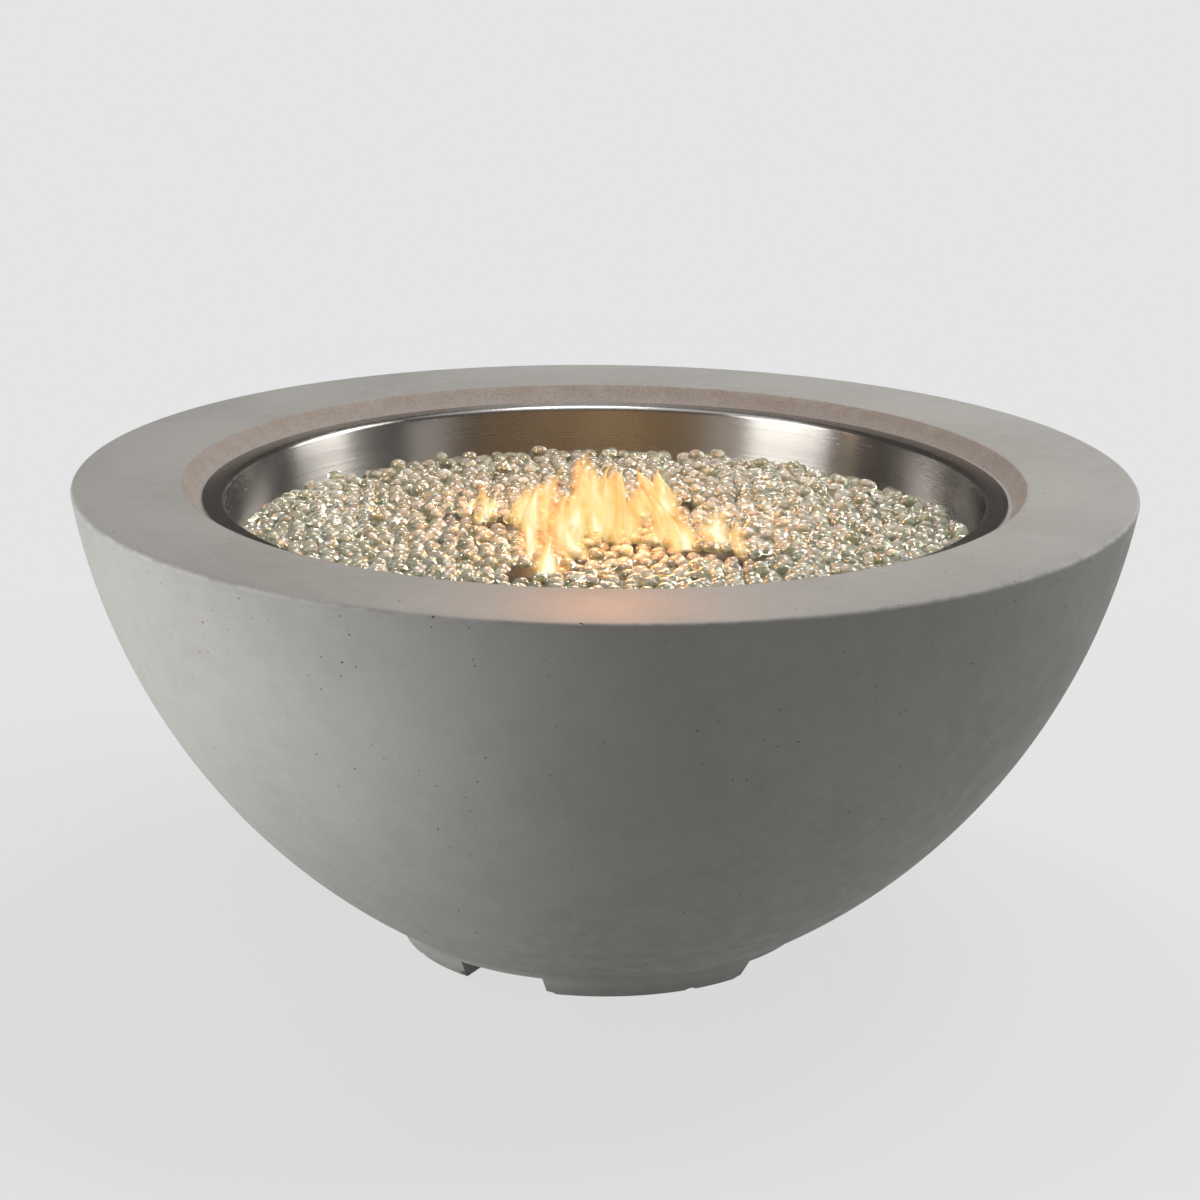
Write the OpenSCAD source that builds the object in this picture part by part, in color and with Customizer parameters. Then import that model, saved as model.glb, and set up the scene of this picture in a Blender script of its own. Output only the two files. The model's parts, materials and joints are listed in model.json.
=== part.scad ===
// Gas fire pit bowl: a cast concrete bowl on four cast feet, with a steel burner pan hung in its rim, a cross
// burner in a bed of glass gems, and a gas valve and igniter on a panel let into the back.
// Millimetres. The origin is on the floor under the middle of the bowl, +Z is up and the panel faces +Y.

/* [Bowl] */
// Outer diameter of the rim
bowl_d = 1067; // [1000:1:1120]
// Height from the floor to the top of the rim
bowl_h = 480; // [465:1:520]
// Radius of the side's arc, seen in section
side_arc_r = 650; // [630:1:720]
// Diameter of the underside, where the side meets the feet
base_d = 420; // [412:1:440]
// Thickness of the side wall
wall_t = 22; // [16:1:28]
// Thickness of the floor
floor_t = 30; // [24:1:40]
// Thickness of the flat rim
rim_t = 44; // [38:1:56]
// Radius of the outer edge of the rim
rim_edge_r = 4; // [2:0.5:8]
// Diameter of the hole in the floor for the supply hose
floor_hole_d = 160; // [140:1:180]

/* [Feet] */
// Height of the feet
foot_h = 20; // [16:1:26]
// Diameter over the feet, at the floor
foot_d = 410; // [380:1:412]
// How far the feet run up the side, above the underside
foot_rise = 5; // [3:0.5:8]
// Width of each foot, from its outer to its inner face
foot_w = 60; // [45:1:75]
// Width of the channel between the feet that runs along X
channel_x_w = 138; // [110:1:150]
// Width of the channel between the feet that runs along Y
channel_y_w = 92; // [80:1:110]

/* [Pan seat] */
// Depth of the seat below the top of the rim
seat_depth = 17; // [14:0.5:22]
// How far the seat's wall leans out, up to the rim
seat_lean = 14; // [8:1:18]
// Gap all round between the flange and the foot of the seat's wall
seat_gap = 4; // [2:0.5:8]
// Gap all round between the pan and the opening it hangs in
throat_gap = 5; // [3:0.5:8]

/* [Pan] */
// Inside diameter of the pan at its lip
pan_d = 762; // [720:1:790]
// Width of the flange, outwards from the lip
flange_w = 23; // [18:1:28]
// Depth of the pan below the top of its flange
pan_depth = 95; // [88:1:110]
// Thickness of the pan's sheet
pan_t = 1.5; // [1:0.1:2.5]
// Lean of the pan's wall, in degrees
pan_draft = 6; // [3:0.5:9]
// Radius of the rounded lip
lip_r = 6; // [3:0.5:9]
// Radius between the pan's wall and floor
corner_r = 12; // [6:1:20]
// Diameter of the drain holes
drain_d = 8; // [5:0.5:12]
// Number of drain holes
drain_n = 8; // [4:1:12]
// Diameter of the circle of drain holes
drain_circle_d = 640; // [560:1:660]
// Depth of the glass on the pan's floor
glass_depth = 45; // [38:1:54]
// Gap between the bed of glass and everything in it
glass_gap = 0.5; // [0.3:0.1:1.5]
// Spacing of the gems at the top of the glass
gem_pitch = 20; // [19:1:30]
// How far the tips of the gems stand above the level of the glass
gem_proud = 7; // [4:0.5:8]
// How far the gaps between the gems lie below that level
gem_drop = 5; // [3:0.5:6]
// How far a gem's tip lies off the middle of its place, at most, along X and along Y
gem_scatter = 3; // [0:0.5:4]
// How far a gem's tip lies above or below the others, at most
gem_uneven = 1.5; // [0:0.5:2]

/* [Burner] */
// Length of each arm from the middle
arm_l = 180; // [140:1:230]
// Width of an arm
arm_w = 34; // [28:1:44]
// Height of an arm
arm_h = 20; // [16:1:24]
// How far the arms stand above the level of the glass
arm_proud = 3; // [1:0.5:5]
// Thickness of the burner's sheet
arm_t = 1.5; // [1:0.1:2]
// Diameter of the gas ports
port_d = 3; // [2:0.1:4]
// Spacing of the gas ports along an arm
port_pitch = 18; // [14:1:26]
// Depth of a gas port below the top of the arm
port_drop = 5; // [4:0.5:7]
// Outer diameter of the burner's socket
socket_d = 34; // [30:1:40]
// Outer diameter of the threaded nipple
nipple_d = 21.3; // [18:0.1:24]
// Bore of the nipple
nipple_bore_d = 15.8; // [12:0.1:16]
// Gap round a threaded joint
thread_gap = 0.15; // [0.1:0.05:0.3]
// Width of a leg
leg_w = 22; // [16:1:28]
// Length of a leg's flange
leg_flange_l = 18; // [14:1:24]
// Thickness of a leg
leg_t = 2; // [1.5:0.1:3]
// Distance of a leg from the end of its arm
leg_inset = 30; // [22:1:50]
// Thickness of a pan locknut
locknut_h = 8; // [6:0.5:9]
// Width of a pan locknut across its flats
locknut_af = 34; // [32:1:40]

/* [Mixer] */
// Outer diameter of the mixer tube
mixer_d = 36; // [34:0.5:42]
// Length of the mixer
mixer_l = 72; // [66:1:90]
// Bore of the mixer
mixer_bore_d = 19; // [16:0.5:20]
// Depth of the mixer's upper socket
mixer_socket_l = 16; // [12:1:20]
// Thickness of the mixer's bottom wall
mixer_bottom_t = 9; // [7:0.5:12]
// Width of the ledge that the shutter turns on
mixer_ledge_w = 4; // [3:0.5:6]
// Thickness of that ledge
mixer_ledge_t = 4; // [3:0.5:6]
// Gap between the mixer and the locknut above it
mixer_gap = 0.5; // [0.3:0.1:2]
// Width of an air window
window_w = 12; // [8:0.5:12]
// Height of an air window
window_l = 16; // [12:1:20]
// Height of the air shutter
shutter_l = 28; // [26:1:34]
// Thickness of the air shutter
shutter_t = 2; // [1.5:0.1:3]
// Running gap between the shutter and the mixer
shutter_gap = 0.08; // [0.05:0.01:0.1]
// Diameter of the shutter's locking screw
shutter_screw_d = 4; // [3:0.5:5]

/* [Probes] */
// Gap between a probe's middle and the side of the arm beside it
probe_side = 16; // [13:1:24]
// Distance of the probes from the middle of the burner
probe_y = 75; // [60:1:110]
// Diameter of the electrode's insulator
insulator_d = 8; // [6:0.5:10]
// Diameter of the electrode's rod
rod_d = 2.5; // [2:0.1:3]
// Diameter of the thermocouple
thermocouple_d = 6; // [5:0.5:8]
// Diameter of the collar that a probe stands on
probe_collar_d = 14; // [13:0.5:18]
// Thickness of that collar
probe_collar_t = 4; // [3:0.5:6]
// Length of a probe below the pan
probe_tail_l = 12; // [8:1:18]
// How far a probe stands above the level of the glass
probe_proud = 10; // [6:1:16]
// Gap round a probe in its holes
probe_gap = 0.2; // [0.1:0.05:0.4]
// Width of a probe plate
plate_w = 26; // [22:1:26]
// Length of a probe plate
plate_l = 34; // [26:1:40]
// Thickness of a probe plate
plate_t = 1.5; // [1:0.1:2.5]
// Diameter of the igniter's lead
igniter_lead_d = 5; // [3:0.5:6]
// Diameter of the thermocouple's lead
thermocouple_lead_d = 3; // [2:0.5:4]
// How far a lead's bend reaches below its probe
lead_dip = 60; // [40:1:70]

/* [Panel] */
// Depth of the panel's middle below the top of the rim
panel_drop = 150; // [142:1:156]
// Width of the panel
panel_w = 150; // [144:1:170]
// Height of the panel
panel_h = 76; // [74:1:80]
// Thickness of the panel
panel_t = 2; // [1.5:0.1:3]
// Radius of the panel's corners
panel_corner_r = 5; // [3:0.5:7]
// Gap all round between the panel and its recess
recess_gap = 1.5; // [1:0.5:3]
// Least depth of the recess, at its lower corners
recess_lip = 7; // [4:0.5:10]
// Width of the ledge that the panel is screwed to
ledge_w = 14; // [12:0.5:16]
// Thickness of that ledge
ledge_t = 24; // [20:1:30]
// Thickness of the concrete round the recess
surround_t = 16; // [12:1:22]
// Diameter of a panel screw
panel_screw_d = 4; // [3:0.5:4]
// Diameter of a panel screw's head
panel_screw_head_d = 8; // [7:0.5:9]
// Thickness of a panel screw's head
panel_screw_head_t = 2.4; // [2:0.1:3]
// Width of the socket in a panel screw's head across its flats
panel_screw_socket_af = 4; // [3:0.5:5]
// Gap between the end of a panel screw and the end of its insert
panel_screw_end_gap = 2; // [1:0.5:4]
// Diameter of a threaded insert
insert_d = 7; // [6:0.5:8]
// Length of a threaded insert
insert_l = 14; // [10:1:18]
// Gap round a screw in its clearance hole
screw_gap = 0.2; // [0.1:0.05:0.4]

/* [Valve] */
// Distance of the knob from the panel's middle
knob_offset = 32; // [31:0.5:36]
// Diameter of the knob
knob_d = 44; // [40:1:48]
// Height of the knob
knob_l = 21; // [18:1:24]
// Gap behind the knob at rest
knob_lift = 5; // [4.5:0.5:7]
// Depth of the hollow in the back of the knob
knob_hollow_l = 8; // [6:0.5:9]
// Gap in that hollow round the valve's nut
knob_hollow_gap = 2; // [1:0.5:3]
// Thickness of the knob's face over the end of the stem
knob_face_t = 2; // [1.5:0.5:4]
// Width of the pointer bar on the knob
pointer_w = 7; // [5:0.5:10]
// Height of the pointer bar
pointer_t = 3; // [2:0.5:4]
// Gap between the ends of the pointer bar and the knob's edge
pointer_inset = 1; // [0.5:0.5:4]
// Travel of the knob when it is pushed
knob_travel = 3; // [2:0.5:3.5]
// Outer diameter of the dial ring
dial_d = 62; // [56:1:66]
// Thickness of the dial ring
dial_t = 0.8; // [0.5:0.1:1]
// Width and height of the valve
valve_w = 38; // [37:1:42]
// Length of the valve's body
valve_body_l = 28; // [27:1:34]
// Length of the valve's cap
valve_cap_l = 10; // [8:1:14]
// Thickness of the valve body's front wall
valve_front_t = 8; // [6:0.5:9]
// Diameter of the valve's threaded neck
neck_d = 16; // [14:0.5:18]
// Length of the neck in front of the panel
neck_l = 7; // [6:0.5:8]
// Thickness of the valve's nut
valve_nut_t = 4.5; // [4:0.5:5.5]
// Width of the valve's nut across its flats
valve_nut_af = 22; // [21:1:24]
// Diameter of the valve's stem
stem_d = 8; // [6:0.5:8]
// Depth of the flat on the stem
stem_flat = 1; // [0.5:0.1:1.5]
// Running gap round the stem
stem_gap = 0.1; // [0.05:0.01:0.15]
// Diameter of the chamber behind the valve's front wall
chamber_d = 17; // [16:0.5:19]
// Thickness of the stem's shoulder, and of the collar behind it
collar_t = 3; // [2.5:0.5:3.5]
// Gap round the stem's shoulder in its chamber
shoulder_gap = 2; // [1:0.5:3]
// Wire diameter of the valve's spring
valve_wire_d = 1; // [0.8:0.1:1.2]
// Turns of the valve's spring
valve_spring_n = 4; // [3:1:5]
// Diameter of the valve's gas connections
stub_d = 13; // [12:0.5:14]
// Length of a gas connection
stub_l = 12; // [11:0.5:16]
// Distance between the valve's two gas connections
stub_pitch = 23; // [22.5:0.5:24]
// Drop of the gas connections below the stem
stub_drop = 7; // [6:0.5:8]
// Bore of a gas connection
stub_bore_d = 6.4; // [5:0.2:8]
// Diameter of the safety magnet's case
magnet_d = 13; // [11:0.5:14]
// Length of the safety magnet's case
magnet_l = 22; // [18:1:28]
// Rise of the safety magnet above the stem
magnet_rise = 10; // [9:0.5:11]
// Diameter of a valve screw
valve_screw_d = 3; // [2.5:0.5:3]
// Diameter of a valve screw's head
valve_screw_head_d = 5.1; // [4.5:0.1:5.5]
// Thickness of a valve screw's head
valve_screw_head_t = 1.5; // [1:0.1:2.5]

/* [Igniter] */
// Distance of the igniter from the panel's middle
igniter_offset = 38; // [34:0.5:40]
// Diameter of the igniter's neck
igniter_neck_d = 22; // [21.5:0.5:24]
// Length of the neck in front of the panel
igniter_neck_l = 6; // [5:0.5:7]
// Diameter of the igniter's rear body
igniter_d = 25; // [24:0.5:28]
// Diameter and thickness of the flange behind the panel
igniter_flange_d = 29; // [28:0.5:32]
// Thickness of that flange
igniter_flange_t = 3; // [2:0.5:5]
// Diameter of the igniter's nut
igniter_nut_d = 31; // [29:0.5:34]
// Thickness of the igniter's nut
igniter_nut_t = 4; // [3:0.5:5]
// Diameter of the button
button_d = 16; // [14:0.5:16.5]
// How far the button still stands out of the neck when it is pushed
button_left_l = 2; // [1:0.5:4]
// Width of the button's retaining rim
button_rim_w = 1.4; // [1:0.1:1.6]
// Thickness of that rim
button_rim_t = 3; // [2:0.5:4]
// Running gap round the button
button_gap = 0.12; // [0.08:0.01:0.2]
// Travel of the button
button_travel = 4; // [3:0.5:4.5]
// Length of the button's spring
button_spring_l = 13; // [11:0.5:16]
// Wire diameter of the button's spring
button_wire_d = 1.1; // [0.8:0.1:1.2]
// Turns of the button's spring
button_spring_n = 4; // [3:1:5]
// Diameter of the battery
battery_d = 14.2; // [10:0.1:14.5]
// Length of the battery
battery_l = 50; // [44:0.5:51]
// Gap round the battery
battery_gap = 0.3; // [0.2:0.1:0.5]
// Thickness of a wall across the igniter
igniter_wall_t = 2; // [1.5:0.1:3]
// Thickness of the igniter's end cap
end_cap_t = 6; // [4:0.5:8]
// Length of the terminal on the end cap
terminal_l = 6; // [4:0.5:8]
// Diameter of that terminal
terminal_d = 8; // [7:0.5:10]

/* [Gas line] */
// Outer diameter of the gas pipes
pipe_d = 10; // [8:0.5:11]
// How far the burner pipe's bend reaches below the jet
pipe_dip = 100; // [80:1:120]
// Length of a flare nut
flare_nut_l = 18; // [16:1:20]
// Length of a flare nut over the connection it is screwed to
flare_grip_l = 10; // [8:0.5:10.5]
// Width of a flare nut across its flats
flare_nut_af = 19; // [17:0.5:19]
// Outer diameter of the jet's thread
jet_d = 12; // [10:0.5:14]
// How far the jet stands up inside the mixer
jet_tip_l = 4; // [2:0.5:8]
// Bore of the jet
jet_bore_d = 2.4; // [1.5:0.1:3]
// Width of a fitting's hexagon across its flats
hex_af = 22; // [20:0.5:24]
// Thickness of a fitting's hexagon
hex_t = 7; // [5:0.5:10]
// Diameter of the inlet's thread, for a supply hose
inlet_d = 15.88; // [12.7:0.01:19.05]
// Length of the inlet's thread that is left free
inlet_l = 16; // [12:0.5:20]
// Diameter of the inlet's body in its bracket
inlet_body_d = 18; // [17:0.5:20]
// Distance of the inlet from the middle of the bowl
inlet_offset = 43; // [36:1:46]
// Thickness of the inlet's locknut
inlet_nut_t = 6; // [5:0.5:8]
// Width of the inlet's locknut across its flats
inlet_nut_af = 26; // [25:0.5:30]
// Height of the inlet's bracket above the bowl's floor
bracket_h = 70; // [60:1:90]
// Width of the bracket
bracket_w = 42; // [36:1:54]
// Thickness of the bracket
bracket_t = 3; // [2:0.1:4]
// Length of the bracket's feet
bracket_foot_l = 34; // [28:1:40]
// Gap between the bracket and the edge of the hole in the floor
bracket_margin = 10; // [6:1:16]
// Distance of the bracket's screws from its legs
bracket_screw_out = 20.4; // [18:0.2:24]
// Diameter of a bracket screw
bracket_screw_d = 6; // [5:0.5:7]
// Length of a bracket screw in the concrete
bracket_screw_l = 18; // [14:1:20]
// Diameter of a bracket screw's head
bracket_screw_head_d = 11; // [10:0.5:13]
// Thickness of a bracket screw's head
bracket_screw_head_t = 4; // [3:0.5:5]

/* [Hidden] */
$fn = 96;
// Small overshoot, so that a cut passes cleanly through a face
cut = 1;
// Gap that lets two faces of different pieces rest without sharing space
rest_gap = 0.1;

// Centre of the side's arc in section: it passes through the rim's corner and the edge of the underside
rim_corner = [bowl_d / 2, bowl_h];
base_corner = [base_d / 2, foot_h];
side_chord = base_corner - rim_corner;
side_middle = (rim_corner + base_corner) / 2;
side_inward = [side_chord.y, -side_chord.x] / norm(side_chord);
side_centre = side_middle + side_inward * sqrt(side_arc_r ^ 2 - norm(side_chord) ^ 2 / 4);
// Radius of the side at a height, measured inset from the outer face
function side_r(z, inset = 0) = side_centre.x + sqrt((side_arc_r - inset) ^ 2 - (z - side_centre.y) ^ 2);

foot_top_z = foot_h + foot_rise;

// Pan and glass
pan_r = pan_d / 2;
flange_r = pan_r + flange_w;
seat_z = bowl_h - seat_depth;
seat_r = flange_r + seat_gap;
throat_r = pan_r + pan_t + throat_gap;
flange_z = seat_z + pan_t;
pan_floor_z = flange_z - pan_depth;
pan_under_z = pan_floor_z - pan_t;
// The wall starts where the lip's arc ends, and ends where the corner's arc starts
wall_top = [pan_r + lip_r - lip_r * cos(pan_draft), flange_z - lip_r + lip_r * sin(pan_draft)];
function pan_wall_r(z) = wall_top.x - (wall_top.y - z) * tan(pan_draft);
corner_z = pan_floor_z + corner_r;
pan_corner = [pan_wall_r(corner_z) - corner_r / cos(pan_draft), corner_z];
glass_z = pan_floor_z + glass_depth;

// Gems: each stands on a six-sided cell of a lattice with rows along X, and their sheet is let into the bed
gem_tip_z = glass_z + gem_proud;
gem_foot_z = glass_z - gem_drop;
gem_foot_h = 1.5;
bed_z = gem_foot_z - gem_foot_h;
sheet_under_z = bed_z - 2 * gem_foot_h;
gem_cell_r = gem_pitch / sqrt(3);
gem_row = gem_pitch * sqrt(3) / 2;
gem_reach = pan_wall_r(sheet_under_z) - glass_gap - gem_cell_r;
gem_span = ceil(gem_reach / gem_row) + 1;
gem_side = 2 * gem_span + 1;

// Burner and mixer, from the glass down
arm_top_z = glass_z + arm_proud;
arm_under_z = arm_top_z - arm_h;
socket_gap = 1;
socket_under_z = pan_floor_z + locknut_h + socket_gap;
mixer_top_z = pan_under_z - locknut_h - mixer_gap;
mixer_under_z = mixer_top_z - mixer_l;
shutter_z = mixer_under_z + mixer_ledge_t;
shutter_r = mixer_d / 2 + shutter_gap;
window_z = shutter_z + shutter_l / 2;
jet_hex_z = mixer_under_z - hex_t;
jet_end_z = jet_hex_z - stub_l;
port_n = floor((arm_l - arm_w / 2 - port_pitch) / port_pitch);

// Probes, one each side of the arm along +Y: the electrode is at +X
probe_x = arm_w / 2 + probe_side;
probe_z = pan_floor_z + plate_t;
probe_end_z = pan_under_z - probe_tail_l;
probe_tip_z = glass_z + probe_proud;
insulator_tip_z = glass_z - glass_gap;

// Panel and recess: the panel's front face is upright, and the recess is shallowest at its lower corners
recess_w = panel_w + 2 * recess_gap;
recess_h = panel_h + 2 * recess_gap;
panel_z = bowl_h - panel_drop;
panel_y = sqrt(side_r(panel_z - recess_h / 2) ^ 2 - (recess_w / 2) ^ 2) - recess_lip;
panel_screw_x = (panel_w - ledge_w) / 2;
panel_screw_z = (panel_h - ledge_w) / 2;

// Valve and igniter, measured outwards from the panel's front face
knob_x = -knob_offset;
valve_rear = -panel_t - valve_body_l;
cap_rear = valve_rear - valve_cap_l;
stub_rear = cap_rear - stub_l;
magnet_rear = cap_rear - magnet_l;
chamber_front = -panel_t - valve_front_t;
shoulder_rear = chamber_front - rest_gap - collar_t;
collar_rear = shoulder_rear - rest_gap - collar_t;
stem_rear = collar_rear - collar_t - knob_travel;
stem_front = knob_lift + knob_l - pointer_t - knob_face_t;
knob_hollow_d = valve_nut_af / cos(30) + 2 * knob_hollow_gap;
valve_screw_at = valve_w / 2 - valve_screw_d;
button_x = igniter_offset;
button_l = button_travel + button_left_l;
button_shoulder = -panel_t - igniter_flange_t;
spring_front = button_shoulder - rest_gap - button_rim_t;
spring_rear = spring_front - button_spring_l;
battery_front = spring_rear - igniter_wall_t;
battery_rear = battery_front - battery_l - battery_gap;
end_cap_rear = battery_rear - end_cap_t;
terminal_rear = end_cap_rear - terminal_l;
button_bore_r = button_d / 2 + button_rim_w + button_gap;

// Gas inlet, on a bracket over the hole in the floor
floor_z = foot_h + floor_t;
inlet_x = -inlet_offset;
bracket_z = floor_z + bracket_h;
bracket_leg_x = floor_hole_d / 2 + bracket_margin;
bracket_screw_x = bracket_leg_x + bracket_screw_out;
bracket_screw_y = bracket_w / 4;
inlet_end_z = bracket_z + hex_t + stub_l;
inlet_nut_z = bracket_z - bracket_t - inlet_nut_t;

// Colours
concrete_grey = [0.62, 0.60, 0.57];
steel_grey = [0.74, 0.74, 0.73];
dark_steel = [0.36, 0.34, 0.33];
brass_gold = [0.78, 0.62, 0.32];
copper_red = [0.72, 0.45, 0.30];
soft_black = [0.10, 0.10, 0.11];

// A point on a cubic curve, and the direction of the curve there
function curve_point(p, t) =
    p[0] * (1 - t) ^ 3 + p[1] * 3 * t * (1 - t) ^ 2 + p[2] * 3 * t ^ 2 * (1 - t) + p[3] * t ^ 3;
function curve_slope(p, t) =
    (p[1] - p[0]) * (1 - t) ^ 2 + (p[2] - p[1]) * 2 * t * (1 - t) + (p[3] - p[2]) * t ^ 2;
function curve(p, n) = [for (i = [0:n]) [curve_point(p, i / n), curve_slope(p, i / n)]];
// A path from one place to another: straight out of each for a stretch, with one smooth curve between them.
// out and away are the directions in which it leaves the two, and reach says how far each bends the curve
function run(from, out, to, away, straight, reach, n) =
    let (a = from + out * straight, b = to + away * straight)
    concat([[from, out]], curve([a, a + out * reach[0], b + away * reach[1], b], n), [[to, -away]]);
// A helix about Z, as points with directions
function helix(r, z0, z1, turns, n) = [
    for (i = [0:n])
        let (a = 360 * turns * i / n, climb = (z1 - z0) / (2 * PI * turns))
        [[r * cos(a), r * sin(a), z0 + (z1 - z0) * i / n], [-r * sin(a), r * cos(a), climb]]
];
function unit(v) = v / norm(v);
// Points of a ring round one place on a path; side is a direction that the path never takes
function ring(place, r, sides, side) =
    let (along = unit(place[1]), u = unit(cross(side, along)), v = cross(along, u))
    [for (k = [0:sides - 1]) place[0] + r * (u * cos(360 * k / sides) + v * sin(360 * k / sides))];

// A round tube along a path of points with directions, closed at both ends
module tube(path, r, sides, side) {
    last = len(path) - 1;
    points = [for (place = path) each ring(place, r, sides, side)];
    first_end = [for (k = [1:sides - 2]) [0, k, k + 1]];
    far = last * sides;
    far_end = [for (k = [1:sides - 2]) [far, far + k + 1, far + k]];
    skin = [
        for (i = [0:last - 1], k = [0:sides - 1])
            let (a = i * sides + k, b = i * sides + (k + 1) % sides)
            each [[a, a + sides, b], [b, a + sides, b + sides]]
    ];
    polyhedron(points, concat(first_end, far_end, skin), convexity = 6);
}

// Points of an arc in section, in the order of its angles
function arc(centre, r, a0, a1, n) = [
    for (i = [0:n])
        let (a = a0 + (a1 - a0) * i / n)
        centre + r * [cos(a), sin(a)]
];
// A sheet's outline: a path, and the same path moved to its left by the sheet's thickness
function left(a, b) = unit([a.y - b.y, b.x - a.x]);
function moved(path, t) = [
    for (i = [0:len(path) - 1])
        let (
            before = left(path[max(i - 1, 0)], path[max(i, 1)]),
            after = left(path[min(i, len(path) - 2)], path[min(i + 1, len(path) - 1)])
        )
        path[i] + (before + after) * t / (1 + before * after)
];
function back(list) = [for (i = [len(list) - 1:-1:0]) list[i]];
function sheet(path, t) = concat(path, back(moved(path, t)));

// A straight hexagonal prism, given its width across the flats
module hexagon(af, h) {
    cylinder(d = af / cos(30), h = h, $fn = 6);
}

// A hexagonal nut
module nut(af, bore, h) {
    difference() {
        hexagon(af, h);
        translate([0, 0, -cut])
            cylinder(d = bore, h = h + 2 * cut);
    }
}

// A plate with round corners, from z = 0 up
module round_plate(w, h, r, t) {
    linear_extrude(t) {
        square([w - 2 * r, h], center = true);
        square([w, h - 2 * r], center = true);
        for (x = [-1, 1], y = [-1, 1])
            translate([x * (w / 2 - r), y * (h / 2 - r)])
                circle(r);
    }
}

// Places its children on the panel: their +Z points out of the panel, and 0 is its front face
module on_panel(x, up = 0) {
    translate([x, panel_y, panel_z + up])
        rotate([-90, 0, 0])
            children();
}

// A cylinder from one height to another
module rod(d, low, high) {
    translate([0, 0, low])
        cylinder(d = d, h = high - low);
}

// The side of the bowl as a solid shape in section, moved in by a distance
module side_section(inset) {
    intersection() {
        translate(side_centre)
            circle(side_arc_r - inset, $fn = 360);
        translate([0, foot_h])
            square([bowl_d, bowl_h - foot_h]);
    }
}

// What is cut off the rim's corner to round it
module rim_corner_cut() {
    centre = [side_r(bowl_h - rim_edge_r, rim_edge_r), bowl_h - rim_edge_r];
    reach = 2 * rim_edge_r;
    outward = unit(centre - side_centre);
    difference() {
        polygon([centre, centre + [0, reach], centre + [reach, reach], centre + reach * outward]);
        translate(centre)
            circle(rim_edge_r);
    }
}

module bowl_section() {
    difference() {
        union() {
            side_section(0);
            polygon([[0, 0], [foot_d / 2, 0], [side_r(foot_top_z), foot_top_z], [0, foot_top_z]]);
        }
        rim_corner_cut();
        // Hollow inside, below the rim
        intersection() {
            side_section(wall_t);
            translate([0, floor_z])
                square([bowl_d, bowl_h - rim_t - floor_z]);
        }
        // Opening and stepped seat for the pan
        translate([0, bowl_h - rim_t - cut])
            square([throat_r, rim_t + 2 * cut]);
        polygon([
            [0, seat_z], [seat_r, seat_z], [seat_r + seat_lean, bowl_h],
            [seat_r + seat_lean, bowl_h + cut], [0, bowl_h + cut]
        ]);
        // Hole in the floor, and the space inside the ring of feet
        translate([0, -cut])
            square([floor_hole_d / 2, bowl_h]);
        translate([0, -cut])
            square([foot_d / 2 - foot_w, foot_h + cut]);
    }
}

module concrete_bowl() {
    recess_floor = panel_y - panel_t;
    surround_w = recess_w + 2 * surround_t;
    surround_h = recess_h + 2 * surround_t;
    surround_y = recess_floor - ledge_t;
    color(concrete_grey)
        difference() {
            union() {
                rotate_extrude()
                    bowl_section();
                // Thicker wall round the panel's recess
                intersection() {
                    translate([-surround_w / 2, surround_y, panel_z - surround_h / 2])
                        cube([surround_w, bowl_d, surround_h]);
                    rotate_extrude()
                        side_section(wall_t / 2);
                }
            }
            // Channels between the feet
            translate([-bowl_d / 2, -channel_x_w / 2, -cut])
                cube([bowl_d, channel_x_w, foot_h + cut]);
            translate([-channel_y_w / 2, -bowl_d / 2, -cut])
                cube([channel_y_w, bowl_d, foot_h + cut]);
            // Recess for the panel, and the window behind it
            translate([-recess_w / 2, recess_floor, panel_z - recess_h / 2])
                cube([recess_w, bowl_d, recess_h]);
            translate([ledge_w - panel_w / 2, surround_y - cut, panel_z - panel_h / 2 + ledge_w])
                cube([panel_w - 2 * ledge_w, bowl_d, panel_h - 2 * ledge_w]);
            // Holes for the panel's inserts and the bracket's screws
            for (x = [-1, 1], z = [-1, 1])
                on_panel(x * panel_screw_x, z * panel_screw_z)
                    rod(insert_d + 2 * screw_gap, -panel_t - insert_l, 0);
            for (x = [-1, 1], y = [-1, 1])
                translate([x * bracket_screw_x, y * bracket_screw_y, 0])
                    rod(bracket_screw_d + 2 * screw_gap, floor_z - bracket_screw_l - cut, floor_z + cut);
        }
}

module burner_pan() {
    lip_centre = [pan_r + lip_r, flange_z - lip_r];
    path = concat(
        [[flange_r, flange_z]],
        arc(lip_centre, lip_r, 90, 180 - pan_draft, 8),
        arc(pan_corner, corner_r, -pan_draft, -90, 8),
        [[nipple_d / 2 + thread_gap, pan_floor_z]]
    );
    color(steel_grey)
        difference() {
            rotate_extrude()
                polygon(sheet(path, pan_t));
            for (k = [0:drain_n - 1])
                rotate(360 * (k + 0.5) / drain_n)
                    translate([drain_circle_d / 2, 0, 0])
                        rod(drain_d, pan_under_z - cut, pan_floor_z + cut);
            translate([probe_x, probe_y, 0])
                rod(insulator_d + 2 * probe_gap, pan_under_z - cut, pan_floor_z + cut);
            translate([-probe_x, probe_y, 0])
                rod(thermocouple_d + 2 * probe_gap, pan_under_z - cut, pan_floor_z + cut);
        }
}

// The burner's cross, made smaller all round by an inset
module cross(inset, high) {
    for (turn = [0, 90])
        rotate(turn)
            translate([inset - arm_l, inset - arm_w / 2, 0])
                cube([2 * (arm_l - inset), arm_w - 2 * inset, high]);
}

// A number from -1 to 1 that looks random, for a gem's place [i, j] and a choice n
function chance(place, n) =
    let (wave = 1000 * sin(77.7 * place[0] + 41.3 * place[1] + 123.4 * n))
    2 * (wave - floor(wave)) - 1;

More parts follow.
